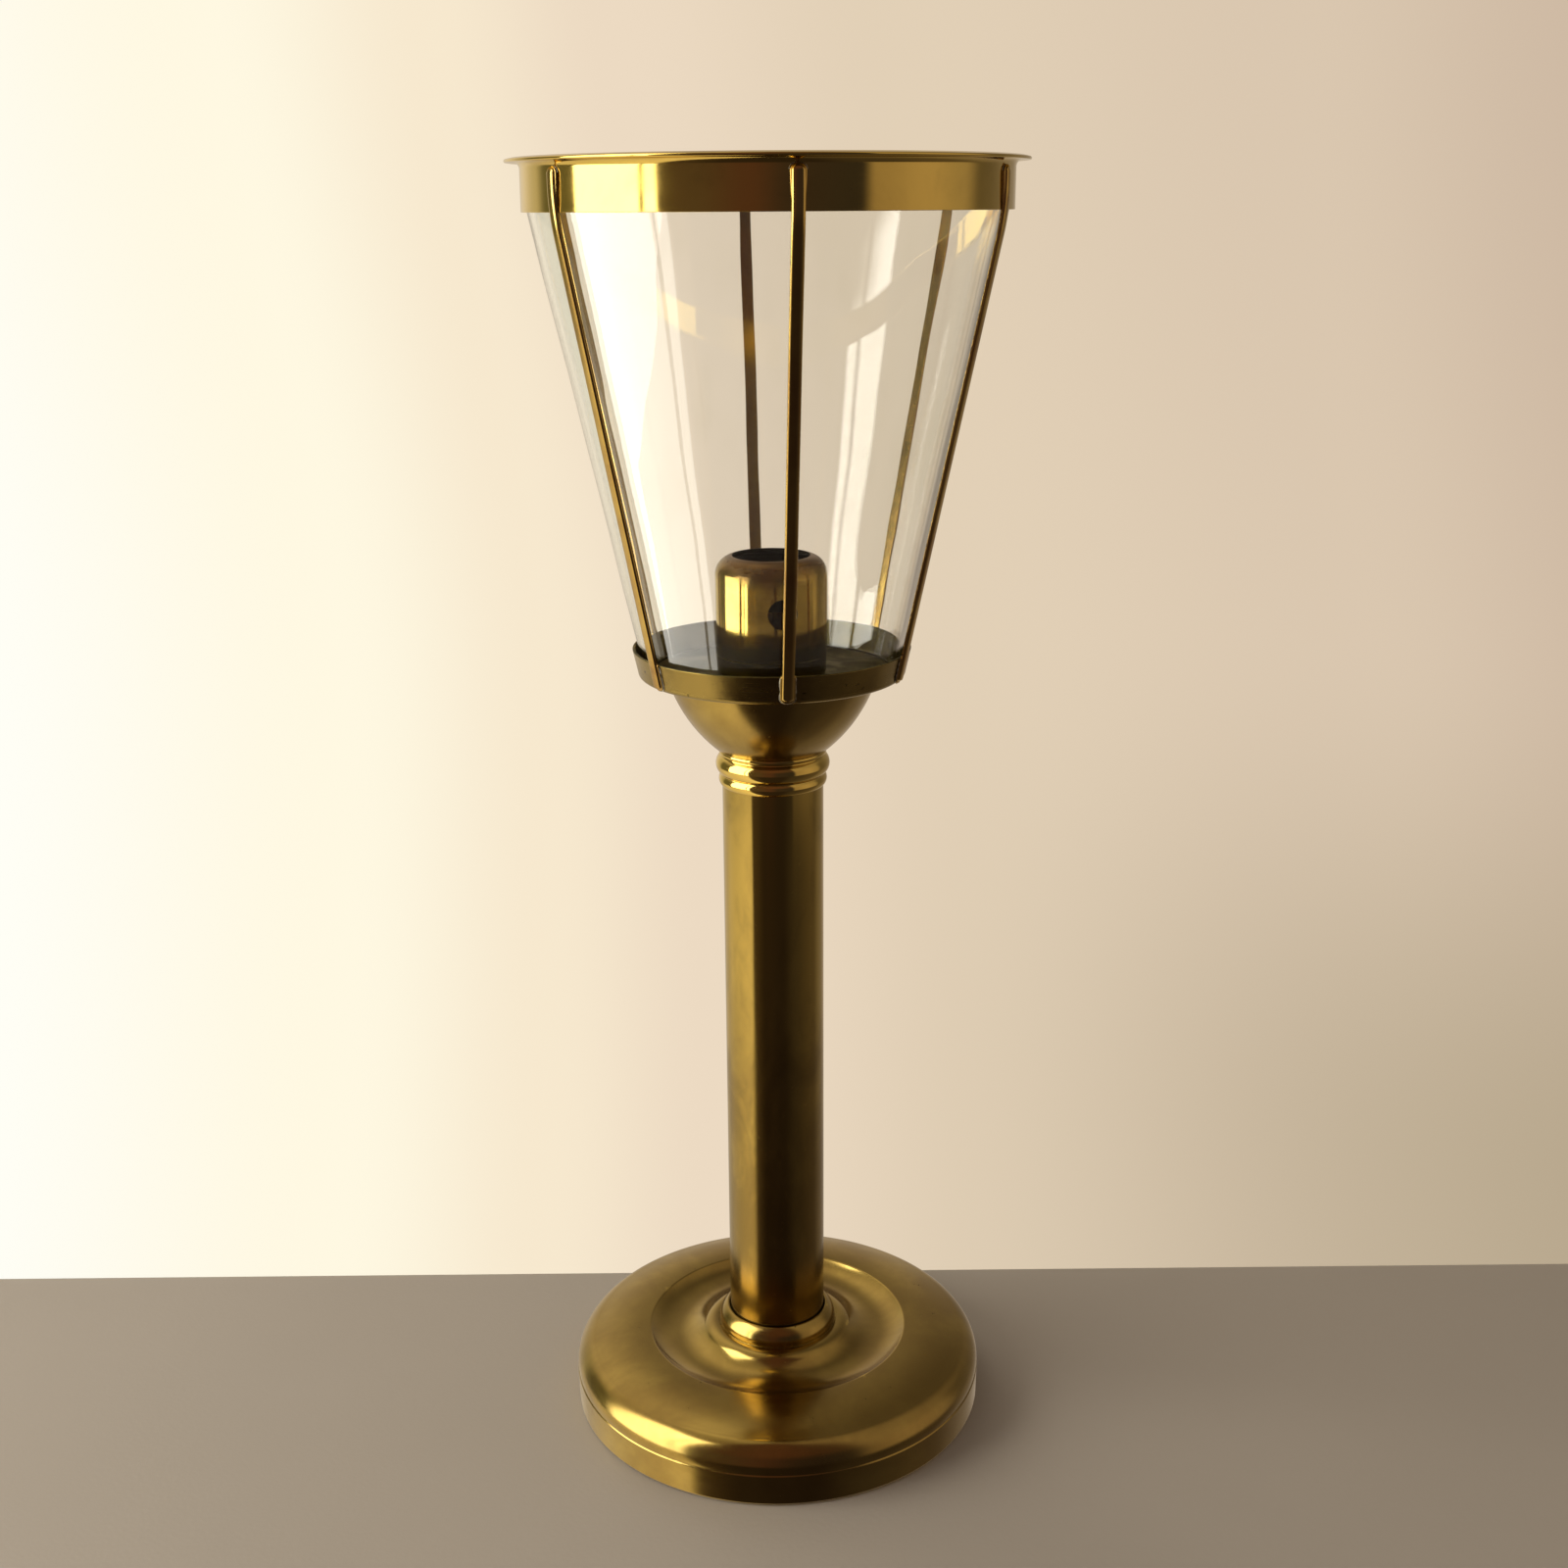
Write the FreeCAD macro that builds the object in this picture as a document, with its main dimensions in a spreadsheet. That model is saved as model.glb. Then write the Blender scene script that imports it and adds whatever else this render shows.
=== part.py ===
import FreeCAD, Part

import math
import os
import Sketcher

# Brass candle lamp: a hollow pillar on a weighted foot. A spring inside the pillar pushes a
# candle up against a slip-on nozzle cap. Round the cap stands a tapered glass in a shallow
# pan, inside a cage of six soldered straps and a flanged band.
# Units are millimetres, +Z is up, and the lamp stands on z = 0 with its axis on Z.

doc = FreeCAD.newDocument("candle_lantern")
sheet = doc.addObject("Spreadsheet::Sheet", "Sizes")


class Size:
    """A length that knows its value and the sheet formula behind it."""

    def __init__(self, value, text):
        self.value = value
        self.text = text

    def __add__(self, other):
        other = as_size(other)
        return Size(self.value + other.value, f"({self.text} + {other.text})")

    def __sub__(self, other):
        other = as_size(other)
        return Size(self.value - other.value, f"({self.text} - {other.text})")

    def __mul__(self, other):
        other = as_size(other)
        return Size(self.value * other.value, f"({self.text} * {other.text})")

    def __truediv__(self, other):
        other = as_size(other)
        return Size(self.value / other.value, f"({self.text} / {other.text})")


def as_size(number):
    return number if isinstance(number, Size) else Size(float(number), f"{float(number):.4f}")


row_count = 0


def cell(alias, number):
    """Store one driving dimension in the sheet and hand back its Size."""
    global row_count
    row_count += 1
    sheet.set(f"A{row_count}", alias)
    sheet.set(f"B{row_count}", str(number))
    sheet.setAlias(f"B{row_count}", alias)
    return Size(float(number), f"Sizes.{alias}")


def bind(thing, **sizes):
    for name, size in sizes.items():
        thing.setExpression(name, as_size(size).text)


# ---- driving dimensions -------------------------------------------------------------------
pillar_radius = cell("pillar_radius", 14.0)
pillar_wall = cell("pillar_wall", 1.0)
sheet_wall = cell("sheet_wall", 0.8)        # rolled sheet of the pan and the band
spun_wall = cell("spun_wall", 1.0)          # spun sheet of the foot and the cap

foot_radius = cell("foot_radius", 60.3)     # upright edge of the foot
foot_edge_top = cell("foot_edge_top", 9.8)  # crease between that edge and the dome
boss_top = cell("boss_top", 27.3)           # where the pillar leaves the foot
felt_thick = cell("felt_thick", 1.5)

collar_low = cell("collar_low", 190.6)
collar_high = cell("collar_high", 200.6)
pan_under = cell("pan_under", 221.8)
rim_top = cell("rim_top", 229.5)
rim_radius = cell("rim_radius", 37.75)      # outside of the pan's rim at its top
tube_top = cell("tube_top", 236.0)

lamp_top = cell("lamp_top", 355.3)
band_tall = cell("band_tall", 13.0)
band_radius = cell("band_radius", 62.5)
flange_radius = cell("flange_radius", 66.4)

cap_radius = cell("cap_radius", 15.1)
cap_top = cell("cap_top", 254.5)
cap_fit = cell("cap_fit", 0.07)             # radial running clearance on the pillar
flame_hole = cell("flame_hole", 10.2)
air_hole = cell("air_hole", 4.0)
air_hole_level = cell("air_hole_level", 241.0)

glass_foot_radius = cell("glass_foot_radius", 34.6)
glass_top_radius = cell("glass_top_radius", 61.2)
glass_top = cell("glass_top", 344.0)
glass_wall = cell("glass_wall", 1.8)

strap_wide = cell("strap_wide", 3.3)
strap_thick = cell("strap_thick", 1.3)
strap_count = 6
plate_thick = cell("plate_thick", 0.6)      # solder-flattened ends of a strap
plate_overhang = cell("plate_overhang", 0.85)

spring_radius = cell("spring_radius", 11.3)
wire_radius = cell("wire_radius", 0.6)
spring_turns = 12
follower_level = cell("follower_level", 219.0)
follower_radius = cell("follower_radius", 12.7)

sheet.recompute()

# ---- lengths worked out from them ----------------------------------------------------------
bore_radius = pillar_radius - pillar_wall
pan_floor = pan_under + sheet_wall
band_low = lamp_top - band_tall
cage_slope = (band_radius - rim_radius) / (band_low - rim_top)
pillar_foot = felt_thick + 9.5
screw_seat = felt_thick + 6.0
plug_top = pillar_foot + 10.0


# ---- making solids -------------------------------------------------------------------------
def new_body(label):
    body = doc.addObject("PartDesign::Body", label)
    body.Label = label
    return body


def plane_of(body, role):
    for item in body.Origin.OriginFeatures:
        if item.Role == role:
            return item
    raise RuntimeError(f"{body.Label} has no {role}")


def new_sketch(body, name, role="XZ_Plane"):
    sketch = body.newObject("Sketcher::SketchObject", f"{body.Label}_{name}")
    sketch.AttachmentSupport = (plane_of(body, role), [""])
    sketch.MapMode = "FlatFace"
    return sketch


def constrain(sketch, size, *terms):
    """Add one constraint and bind it to its size."""
    size = as_size(size)
    index = sketch.addConstraint(Sketcher.Constraint(*terms, size.value))
    sketch.setExpression(f"Constraints[{index}]", size.text)


def arc_through(start, end, radius):
    """Arc of a given radius; a positive one turns left on the way from start to end."""
    chord = end - start
    half = chord.Length / 2
    rise = abs(radius) - math.sqrt(radius * radius - half * half)
    side = FreeCAD.Vector(chord.y, -chord.x, 0).normalize()
    middle = (start + end) / 2 + side * math.copysign(rise, radius)
    return Part.Arc(start, middle, end) if radius > 0 else Part.Arc(end, middle, start)


def outline(sketch, corners):
    """Closed outline. Each corner is (x, y), or (x, y, bend) with bend the radius to the next."""
    spots = [FreeCAD.Vector(as_size(c[0]).value, as_size(c[1]).value, 0) for c in corners]
    ends = []
    for number, corner in enumerate(corners):
        start = spots[number]
        end = spots[(number + 1) % len(corners)]
        if len(corner) == 3:
            bend = as_size(corner[2])
            side = sketch.addGeometry(arc_through(start, end, bend.value), False)
            ends.append((side, 1, 2) if bend.value > 0 else (side, 2, 1))
        else:
            side = sketch.addGeometry(Part.LineSegment(start, end), False)
            ends.append((side, 1, 2))
    for number, corner in enumerate(corners):
        side, first, last = ends[number]
        following = ends[(number + 1) % len(corners)]
        sketch.addConstraint(Sketcher.Constraint("Coincident", side, last, following[0], following[1]))
        constrain(sketch, corner[0], "DistanceX", -1, 1, side, first)
        constrain(sketch, corner[1], "DistanceY", -1, 1, side, first)
        if len(corner) == 3:
            bend = as_size(corner[2])
            radius = bend if bend.value > 0 else bend * -1
            constrain(sketch, radius, "Radius", side)


def turned_part(label, corners):
    """A piece of revolution about Z from its half section, as (radius, height) corners."""
    body = new_body(label)
    sketch = new_sketch(body, "section")
    outline(sketch, corners)
    turn = body.newObject("PartDesign::Revolution", f"{label}_turn")
    turn.Profile = sketch
    turn.ReferenceAxis = (sketch, ["V_Axis"])
    turn.Angle = 360
    sketch.Visibility = False
    return body


def ring_part(label, inner, outer, low, high):
    return turned_part(label, [(inner, low), (outer, low), (outer, high), (inner, high)])


def pad_both_ways(body, name, corners, width):
    """Extrude an XZ outline to both sides of its plane."""
    sketch = new_sketch(body, name)
    outline(sketch, corners)
    pad = body.newObject("PartDesign::Pad", f"{body.Label}_{name}_pad")
    pad.Profile = sketch
    pad.Midplane = True
    bind(pad, Length=width)


def rounded(body, name, base, radius, wanted):
    """Fillet the edges of a feature for which wanted(edge) is true."""
    doc.recompute()
    names = [f"Edge{n + 1}" for n, edge in enumerate(base.Shape.Edges) if wanted(edge)]
    fillet = body.newObject("PartDesign::Fillet", f"{body.Label}_{name}")
    fillet.Base = (base, names)
    bind(fillet, Radius=radius)
    return fillet


# ---- foot ----------------------------------------------------------------------------------
def make_foot():
    """Spun shell with a channelled dome, its iron weight, felt, and the clamping screw."""
    felt_radius = foot_radius - 2.8
    felt = doc.addObject("Part::Cylinder", "felt_pad")
    felt.Label = "felt_pad"
    bind(felt, Radius=felt_radius, Height=felt_thick)

    edge_inside = foot_radius - spun_wall - 0.2
    hole = pillar_radius + 0.3
    crest = boss_top - 6.5
    turned_part("base_shell", [
        (felt_radius + 0.4, 0.4),
        (foot_radius - 0.8, 0.4, 0.6),
        (foot_radius - 0.2, 1.0),
        (foot_radius + 0.2, foot_edge_top - 0.4),
        (foot_radius - 0.2, foot_edge_top, 7.2),
        (foot_radius - 5.6, boss_top - 9.2, 42.0),
        (foot_radius - 22.1, crest),
        (foot_radius - 22.8, crest - 0.6, -12.6),
        (pillar_radius + 8.0, boss_top - 6.9, 5.0),
        (pillar_radius + 3.3, boss_top - 5.3, 5.5),
        (pillar_radius + 0.9, boss_top),
        (hole, boss_top),
        (hole, boss_top - 1.6),
        (pillar_radius + 2.2, boss_top - 3.2),
        (pillar_radius + 2.0, boss_top - 5.9),
        (pillar_radius + 7.0, boss_top - 8.2),
        (pillar_radius + 15.0, boss_top - 10.7),
        (foot_radius - 23.2, crest - 1.8),
        (foot_radius - 21.7, crest - 1.1),
        (foot_radius - 6.6, boss_top - 10.2),
        (foot_radius - 1.3, foot_edge_top + 2.6),
        (edge_inside, foot_edge_top),
        (edge_inside, felt_thick),
        (felt_radius + 0.4, felt_thick),
    ])
    turned_part("base_weight", [
        (12.0, felt_thick),
        (edge_inside - 0.3, felt_thick),
        (edge_inside - 0.3, foot_edge_top),
        (foot_radius - 4.0, foot_edge_top + 3.4),
        (foot_radius - 10.0, boss_top - 11.2),
        (pillar_radius + 0.2, boss_top - 11.2),
        (pillar_radius + 0.2, pillar_foot),
        (3.3, pillar_foot),
        (3.3, screw_seat),
        (12.0, screw_seat),
    ])
    ring_part("base_washer", as_size(3.2), as_size(9.0), screw_seat - 1.5, screw_seat)

    screw = new_body("base_screw")
    head = new_sketch(screw, "head", "XY_Plane")
    across_corners = 5.8
    corners = []
    for number in range(6):
        angle = math.radians(60 * number)
        corners.append((across_corners * math.cos(angle), across_corners * math.sin(angle)))
    outline(head, corners)
    bind(head, **{"AttachmentOffset.Base.z": screw_seat - 5.3})
    head_pad = screw.newObject("PartDesign::Pad", "base_screw_head_pad")
    head_pad.Profile = head
    head_pad.Length = 3.8
    shank = new_sketch(screw, "shank", "XY_Plane")
    shank.addGeometry(Part.Circle(FreeCAD.Vector(0, 0, 0), FreeCAD.Vector(0, 0, 1), 3.0), False)
    shank.addConstraint(Sketcher.Constraint("Coincident", 0, 3, -1, 1))
    constrain(shank, 3.0, "Radius", 0)
    bind(shank, **{"AttachmentOffset.Base.z": screw_seat - 1.5})
    shank_pad = screw.newObject("PartDesign::Pad", "base_screw_shank_pad")
    shank_pad.Profile = shank
    bind(shank_pad, Length=plug_top - screw_seat - 0.5)


# ---- pillar --------------------------------------------------------------------------------
def make_pillar():
    """Drawn tube, the plug brazed into its foot, and the beaded collar at its neck."""
    ring_part("pillar_tube", bore_radius, pillar_radius, pillar_foot, tube_top)
    spigot = spring_radius - wire_radius - 0.7
    turned_part("foot_plug", [
        (3.05, pillar_foot),
        (bore_radius, pillar_foot),
        (bore_radius, plug_top),
        (spigot, plug_top),
        (spigot, plug_top + 5.0),
        (spigot - 1.0, plug_top + 6.0),
        (3.05, plug_top + 6.0),
    ])
    turned_part("neck_collar", [
        (pillar_radius, collar_low),
        (pillar_radius + 0.25, collar_low, 2.3),
        (pillar_radius + 0.5, collar_low + 3.2, 3.4),
        (pillar_radius + 0.8, collar_low + 8.4),
        (pillar_radius + 0.5, collar_high - 0.6),
        (pillar_radius + 0.6, collar_high),
        (pillar_radius, collar_high),
    ])


# ---- funnel, pan and cage ------------------------------------------------------------------
def make_gallery():
    """Bowl-shaped funnel, its collar, the flared pan and the flanged top band."""
    bowl_bend = 42.0
    bowl_radius = rim_radius - 8.85
    turned_part("funnel_cup", [
        (pillar_radius + 0.05, collar_high),
        (pillar_radius + 0.9, collar_high, bowl_bend),
        (bowl_radius, pan_under),
        (bowl_radius - 1.2, pan_under, -bowl_bend),
        (pillar_radius + 0.8, collar_high + 1.5),
        (pillar_radius + 0.05, collar_high + 1.5),
    ])
    ring_part("pan_collar", pillar_radius, pillar_radius + 6.0, pan_under - 3.2, pan_under)

    turn_in = 1.4
    rim_foot = pan_under + turn_in
    rim_foot_radius = rim_radius - cage_slope * (rim_top - rim_foot)
    turned_part("gallery_pan", [
        (pillar_radius + 0.05, pan_under),
        (rim_foot_radius - 1.1, pan_under, 1.5),
        (rim_foot_radius, rim_foot),
        (rim_radius, rim_top),
        (rim_radius - sheet_wall, rim_top),
        (rim_foot_radius - sheet_wall, rim_foot + 0.1, -0.9),
        (rim_foot_radius - 1.5, pan_floor),
        (pillar_radius + 0.05, pan_floor),
    ])

    cove = 1.9
    cove_radius = band_radius + cove
    lip_under = lamp_top - 0.9
    turned_part("top_band", [
        (band_radius - sheet_wall, band_low),
        (band_radius, band_low),
        (band_radius, lip_under - cove, -cove),
        (cove_radius, lip_under),
        (flange_radius - 0.3, lip_under - 0.25, 0.45),
        (flange_radius - 0.4, lamp_top - 0.35),
        (cove_radius, lamp_top),
        (band_radius + 0.6, lamp_top, 1.4),
        (band_radius - sheet_wall, lamp_top - 1.4),
    ])


def soldered_plate(strap, name, corners, radius, level, lean):
    """Thin plate under the strap, leaning out by lean degrees from a radius and level."""
    sketch = new_sketch(strap, name, "YZ_Plane")
    outline(sketch, corners)
    tilt = FreeCAD.Rotation(FreeCAD.Vector(1, 0, 0), lean)
    sketch.AttachmentOffset = FreeCAD.Placement(FreeCAD.Vector(0, 0, 0), tilt)
    bind(sketch, **{"AttachmentOffset.Base.y": level, "AttachmentOffset.Base.z": radius})
    plate = strap.newObject("PartDesign::Pad", f"{strap.Label}_{name}_pad")
    plate.Profile = sketch
    bind(plate, Length=plate_thick)


def make_strap(number):
    """Half-round strap, soldered flat to the band at its head and to the pan's rim at its foot."""
    strap = new_body(f"strap_{number}")
    head_top = lamp_top - 2.9
    foot_end = pan_under + 0.9
    foot_radius_in = rim_radius - cage_slope * (rim_top - foot_end)
    pad_both_ways(strap, "bar", [
        (foot_radius_in, foot_end),
        (foot_radius_in + strap_thick, foot_end),
        (band_radius + strap_thick, band_low - 0.2),
        (band_radius + strap_thick, head_top),
        (band_radius, head_top),
        (band_radius, band_low),
    ], strap_wide)
    half = strap_wide.value / 2

    def inner_face(height):
        slanted = rim_radius.value - cage_slope.value * (rim_top.value - height)
        return min(band_radius.value, slanted)

    def long_outer(edge):
        ends = [vertex.Point for vertex in edge.Vertexes]
        level = abs(abs(ends[0].y) - half) < 1e-6 and abs(ends[0].y - ends[1].y) < 1e-6
        outward = all(spot.x > inner_face(spot.z) + 0.6 * strap_thick.value for spot in ends)
        return level and outward and edge.Length > 5

    rounded(strap, "half_round", strap.Tip, strap_thick * 0.8, long_outer)

    wide = strap_wide / 2 + plate_overhang
    end_bend = strap_wide / 2 + 1.1
    plate_end = pan_under + 0.3
    lean = math.degrees(math.atan(cage_slope.value))
    soldered_plate(strap, "foot_plate", [
        (wide * -1, 1.4, end_bend),
        (wide, 1.4),
        (wide, rim_top - plate_end + 0.5),
        (wide * -1, rim_top - plate_end + 0.5),
    ], rim_radius - cage_slope * (rim_top - plate_end), plate_end, lean)

    head_tall = head_top - band_low
    soldered_plate(strap, "head_plate", [
        (strap_wide / -2, 1.0),
        (strap_wide / 2, 1.0),
        (wide, head_tall * 0.55),
        (wide, head_tall - 1.2, end_bend),
        (wide * -1, head_tall - 1.2),
        (wide * -1, head_tall * 0.55),
    ], band_radius, band_low, 0)

    turn = FreeCAD.Rotation(FreeCAD.Vector(0, 0, 1), -90 + 360 / strap_count * (number - 1))
    strap.Placement = FreeCAD.Placement(FreeCAD.Vector(0, 0, 0), turn)


# ---- glass ---------------------------------------------------------------------------------
def make_glass():
    """Tapered clear glass, ground flat at its foot and rounded at its mouth."""
    turned_part("glass_shade", [
        (glass_foot_radius - glass_wall, pan_floor),
        (glass_foot_radius, pan_floor),
        (glass_top_radius, glass_top - 0.6, 1.05),
        (glass_top_radius - glass_wall, glass_top - 0.6),
    ])


# ---- candle feed ---------------------------------------------------------------------------
def make_candle_feed():
    """Spring, the cup that carries the candle, and the nozzle cap that holds it down."""
    coil = doc.addObject("Part::Helix", "spring_path")
    spring_low = plug_top + wire_radius + 0.1
    spring_tall = follower_level - plug_top - wire_radius * 2 - 0.2
    bind(coil, Radius=spring_radius, Height=spring_tall, Pitch=spring_tall / spring_turns)
    coil.SegmentLength = 1
    coil.Placement.Base.z = spring_low.value
    wire = doc.addObject("Part::Circle", "spring_wire")
    bind(wire, Radius=wire_radius)
    upright = FreeCAD.Rotation(FreeCAD.Vector(1, 0, 0), 90)
    wire.Placement = FreeCAD.Placement(
        FreeCAD.Vector(spring_radius.value, 0, spring_low.value), upright)
    spring = doc.addObject("Part::Sweep", "candle_spring")
    spring.Label = "candle_spring"
    spring.Sections = [wire]
    spring.Spine = (coil, [])
    spring.Solid = True
    spring.Frenet = True

    spigot = spring_radius - wire_radius - 0.7
    turned_part("candle_follower", [
        (spigot - 1.2, follower_level - 6.0),
        (spigot, follower_level - 6.0),
        (spigot, follower_level),
        (follower_radius, follower_level),
        (follower_radius, follower_level + 12.0),
        (follower_radius - 1.0, follower_level + 12.0),
        (follower_radius - 1.0, follower_level + 1.5),
        (0.0, follower_level + 1.5),
        (0.0, follower_level + 0.3),
        (spigot - 1.2, follower_level + 0.3),
    ])

    inside = pillar_radius + cap_fit
    shoulder = cap_radius - flame_hole
    cap_low = pan_floor + 0.3
    cap = turned_part("nozzle_cap", [
        (inside, cap_low),
        (cap_radius - 0.4, cap_low),
        (cap_radius, cap_low + 15.0),
        (cap_radius, cap_top - shoulder, shoulder + 0.3),
        (flame_hole + 0.3, cap_top - 0.05),
        (flame_hole, cap_top - 0.4),
        (flame_hole, cap_top - 1.2, -4.4),
        (inside, cap_top - shoulder - 0.3),
    ])
    holes = new_sketch(cap, "holes")
    axis = FreeCAD.Vector(0, 0, 1)
    middle = FreeCAD.Vector(0, air_hole_level.value, 0)
    holes.addGeometry(Part.Circle(middle, axis, air_hole.value), False)
    constrain(holes, air_hole, "Radius", 0)
    constrain(holes, 0.0, "DistanceX", -1, 1, 0, 3)
    constrain(holes, air_hole_level, "DistanceY", -1, 1, 0, 3)
    drilled = cap.newObject("PartDesign::Pocket", "nozzle_cap_drilled")
    drilled.Profile = holes
    drilled.Midplane = True
    bind(drilled, Length=cap_radius * 3)
    cap_turn = 5.3
    cap.Placement = FreeCAD.Placement(FreeCAD.Vector(0, 0, 0), FreeCAD.Rotation(axis, cap_turn))
    return drilled


make_foot()
make_pillar()
make_gallery()
for strap_number in range(1, strap_count + 1):
    make_strap(strap_number)
make_glass()
cap_holes = make_candle_feed()
doc.recompute()

# ---- checks and files ----------------------------------------------------------------------
nodes = [
    "felt_pad", "base_weight", "base_shell", "base_screw", "base_washer", "foot_plug",
    "pillar_tube", "neck_collar", "funnel_cup", "pan_collar", "gallery_pan", "top_band",
    "glass_shade", "candle_spring", "candle_follower", "nozzle_cap",
]
nodes += [f"strap_{number}" for number in range(1, strap_count + 1)]

for item in doc.Objects:
    if "Invalid" in item.State or "Error" in item.State:
        raise RuntimeError(f"{item.Label} did not recompute: {item.State}")

undrilled = doc.getObject("nozzle_cap_turn").Shape.Volume
least_cut = 50.0
if cap_holes.Shape.Volume > undrilled - least_cut:
    raise RuntimeError("the air holes cut nothing")

os.makedirs("parts", exist_ok=True)
for node in nodes:
    piece = doc.getObjectsByLabel(node)[0]
    if piece.Shape.isNull() or not piece.Shape.isValid():
        raise RuntimeError(f"{node} has no valid shape")
    piece.Shape.exportStep(f"parts/{node}.step")
    box = piece.Shape.BoundBox
    print(f"{node}: {piece.Shape.Volume:.0f} mm3, {len(piece.Shape.Solids)} solid, "
          f"z {box.ZMin:.2f} to {box.ZMax:.2f}, x {box.XMin:.2f} to {box.XMax:.2f}")
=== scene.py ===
import math

import bmesh
import bpy
from mathutils import Euler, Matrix, Quaternion, Vector, noise


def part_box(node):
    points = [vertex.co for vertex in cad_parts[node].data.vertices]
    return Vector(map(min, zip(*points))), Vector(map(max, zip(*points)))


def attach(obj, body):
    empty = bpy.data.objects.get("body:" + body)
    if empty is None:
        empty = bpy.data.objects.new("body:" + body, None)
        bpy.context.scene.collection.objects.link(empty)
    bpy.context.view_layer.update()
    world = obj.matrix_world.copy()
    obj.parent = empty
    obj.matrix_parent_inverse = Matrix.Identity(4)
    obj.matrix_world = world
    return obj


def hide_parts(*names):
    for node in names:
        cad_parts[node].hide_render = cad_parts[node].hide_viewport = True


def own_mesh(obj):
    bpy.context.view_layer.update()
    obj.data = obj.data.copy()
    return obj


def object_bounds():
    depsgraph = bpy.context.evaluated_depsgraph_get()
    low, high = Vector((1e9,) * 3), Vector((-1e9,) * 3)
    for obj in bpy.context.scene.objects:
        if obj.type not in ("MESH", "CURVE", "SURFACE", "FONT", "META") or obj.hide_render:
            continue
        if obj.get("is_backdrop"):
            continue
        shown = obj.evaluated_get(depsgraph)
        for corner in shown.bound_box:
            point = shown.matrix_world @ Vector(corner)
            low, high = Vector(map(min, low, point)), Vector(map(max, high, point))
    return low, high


# A brass candle lamp, put together from the table upwards. Section sizes are in millimetres
# and are turned into metres where a mesh is made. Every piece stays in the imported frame.
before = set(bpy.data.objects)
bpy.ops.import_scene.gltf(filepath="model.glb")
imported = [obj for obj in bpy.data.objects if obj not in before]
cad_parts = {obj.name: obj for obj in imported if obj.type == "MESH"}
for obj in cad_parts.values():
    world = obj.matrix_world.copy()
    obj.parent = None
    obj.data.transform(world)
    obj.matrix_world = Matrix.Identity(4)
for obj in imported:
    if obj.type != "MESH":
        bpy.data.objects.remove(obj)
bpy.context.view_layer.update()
MM = 0.001

# ---- felt disc -----------------------------------------------------------------------------
# The disc the lamp stands on: dark green pressed wool, punched out and glued under the foot.
# Its cut edge is a little frayed, and its face has the nap of short fibres.


def arc_spots(start, end, bend, step=3.0):
    """Points between two corners along an arc; a positive bend turns left on the way."""
    chord = end - start
    half = chord.length / 2
    left = Vector((-chord.y, chord.x)).normalized()
    reach = math.sqrt(bend * bend - half * half)
    centre = (start + end) / 2 + left * math.copysign(reach, bend)
    sweep = math.copysign(2 * math.asin(half / abs(bend)), bend)
    count = max(3, round(abs(math.degrees(sweep)) / step))
    spots = []
    for number in range(1, count):
        turn = sweep * number / count
        arm = start - centre
        spots.append(centre + Vector((
            arm.x * math.cos(turn) - arm.y * math.sin(turn),
            arm.x * math.sin(turn) + arm.y * math.cos(turn))))
    return spots


def section_line(corners, ease, longest):
    """Closed section with its arcs drawn, its corners eased and its long sides divided."""
    drawn = []
    for number, corner in enumerate(corners):
        start = Vector(corner[:2])
        end = Vector(corners[(number + 1) % len(corners)][:2])
        drawn.append((start, True))
        if len(corner) == 3:
            drawn += [(spot, False) for spot in arc_spots(start, end, corner[2])]
    line = []
    for number, (spot, is_corner) in enumerate(drawn):
        before = drawn[number - 1][0] - spot
        after = drawn[(number + 1) % len(drawn)][0] - spot
        if is_corner and before.angle(after) < math.radians(168) and spot.x > 0:
            cut = min(ease, 0.45 * before.length, 0.45 * after.length)
            near, far = spot + before.normalized() * cut, spot + after.normalized() * cut
            for share in (0.0, 0.25, 0.5, 0.75, 1.0):
                line.append(near * (1 - share) ** 2 + spot * 2 * share * (1 - share) + far * share ** 2)
        else:
            line.append(spot)
    divided = []
    for number, spot in enumerate(line):
        following = line[(number + 1) % len(line)]
        parts = max(1, math.ceil((following - spot).length / longest))
        divided += [spot.lerp(following, part / parts) for part in range(parts)]
    return divided


def finish_mesh(name, mesh_builder, sway=0.0, sway_size=20.0):
    """Turn a bmesh in millimetres into a smooth object, with a little hand-made unevenness."""
    bmesh.ops.recalc_face_normals(mesh_builder, faces=mesh_builder.faces)
    if sway:
        for vertex in mesh_builder.verts:
            outward = Vector((vertex.co.x, vertex.co.y, 0))
            if outward.length > 1:
                shift = noise.noise(vertex.co / sway_size) * sway
                vertex.co += outward.normalized() * shift
    bmesh.ops.scale(mesh_builder, vec=Vector((MM, MM, MM)), verts=mesh_builder.verts)
    mesh = bpy.data.meshes.new(name)
    mesh_builder.to_mesh(mesh)
    mesh_builder.free()
    mesh.shade_smooth()
    piece = bpy.data.objects.new(name, mesh)
    bpy.context.scene.collection.objects.link(piece)
    evened = piece.modifiers.new("even normals", "WEIGHTED_NORMAL")
    evened.keep_sharp = True
    return piece


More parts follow.
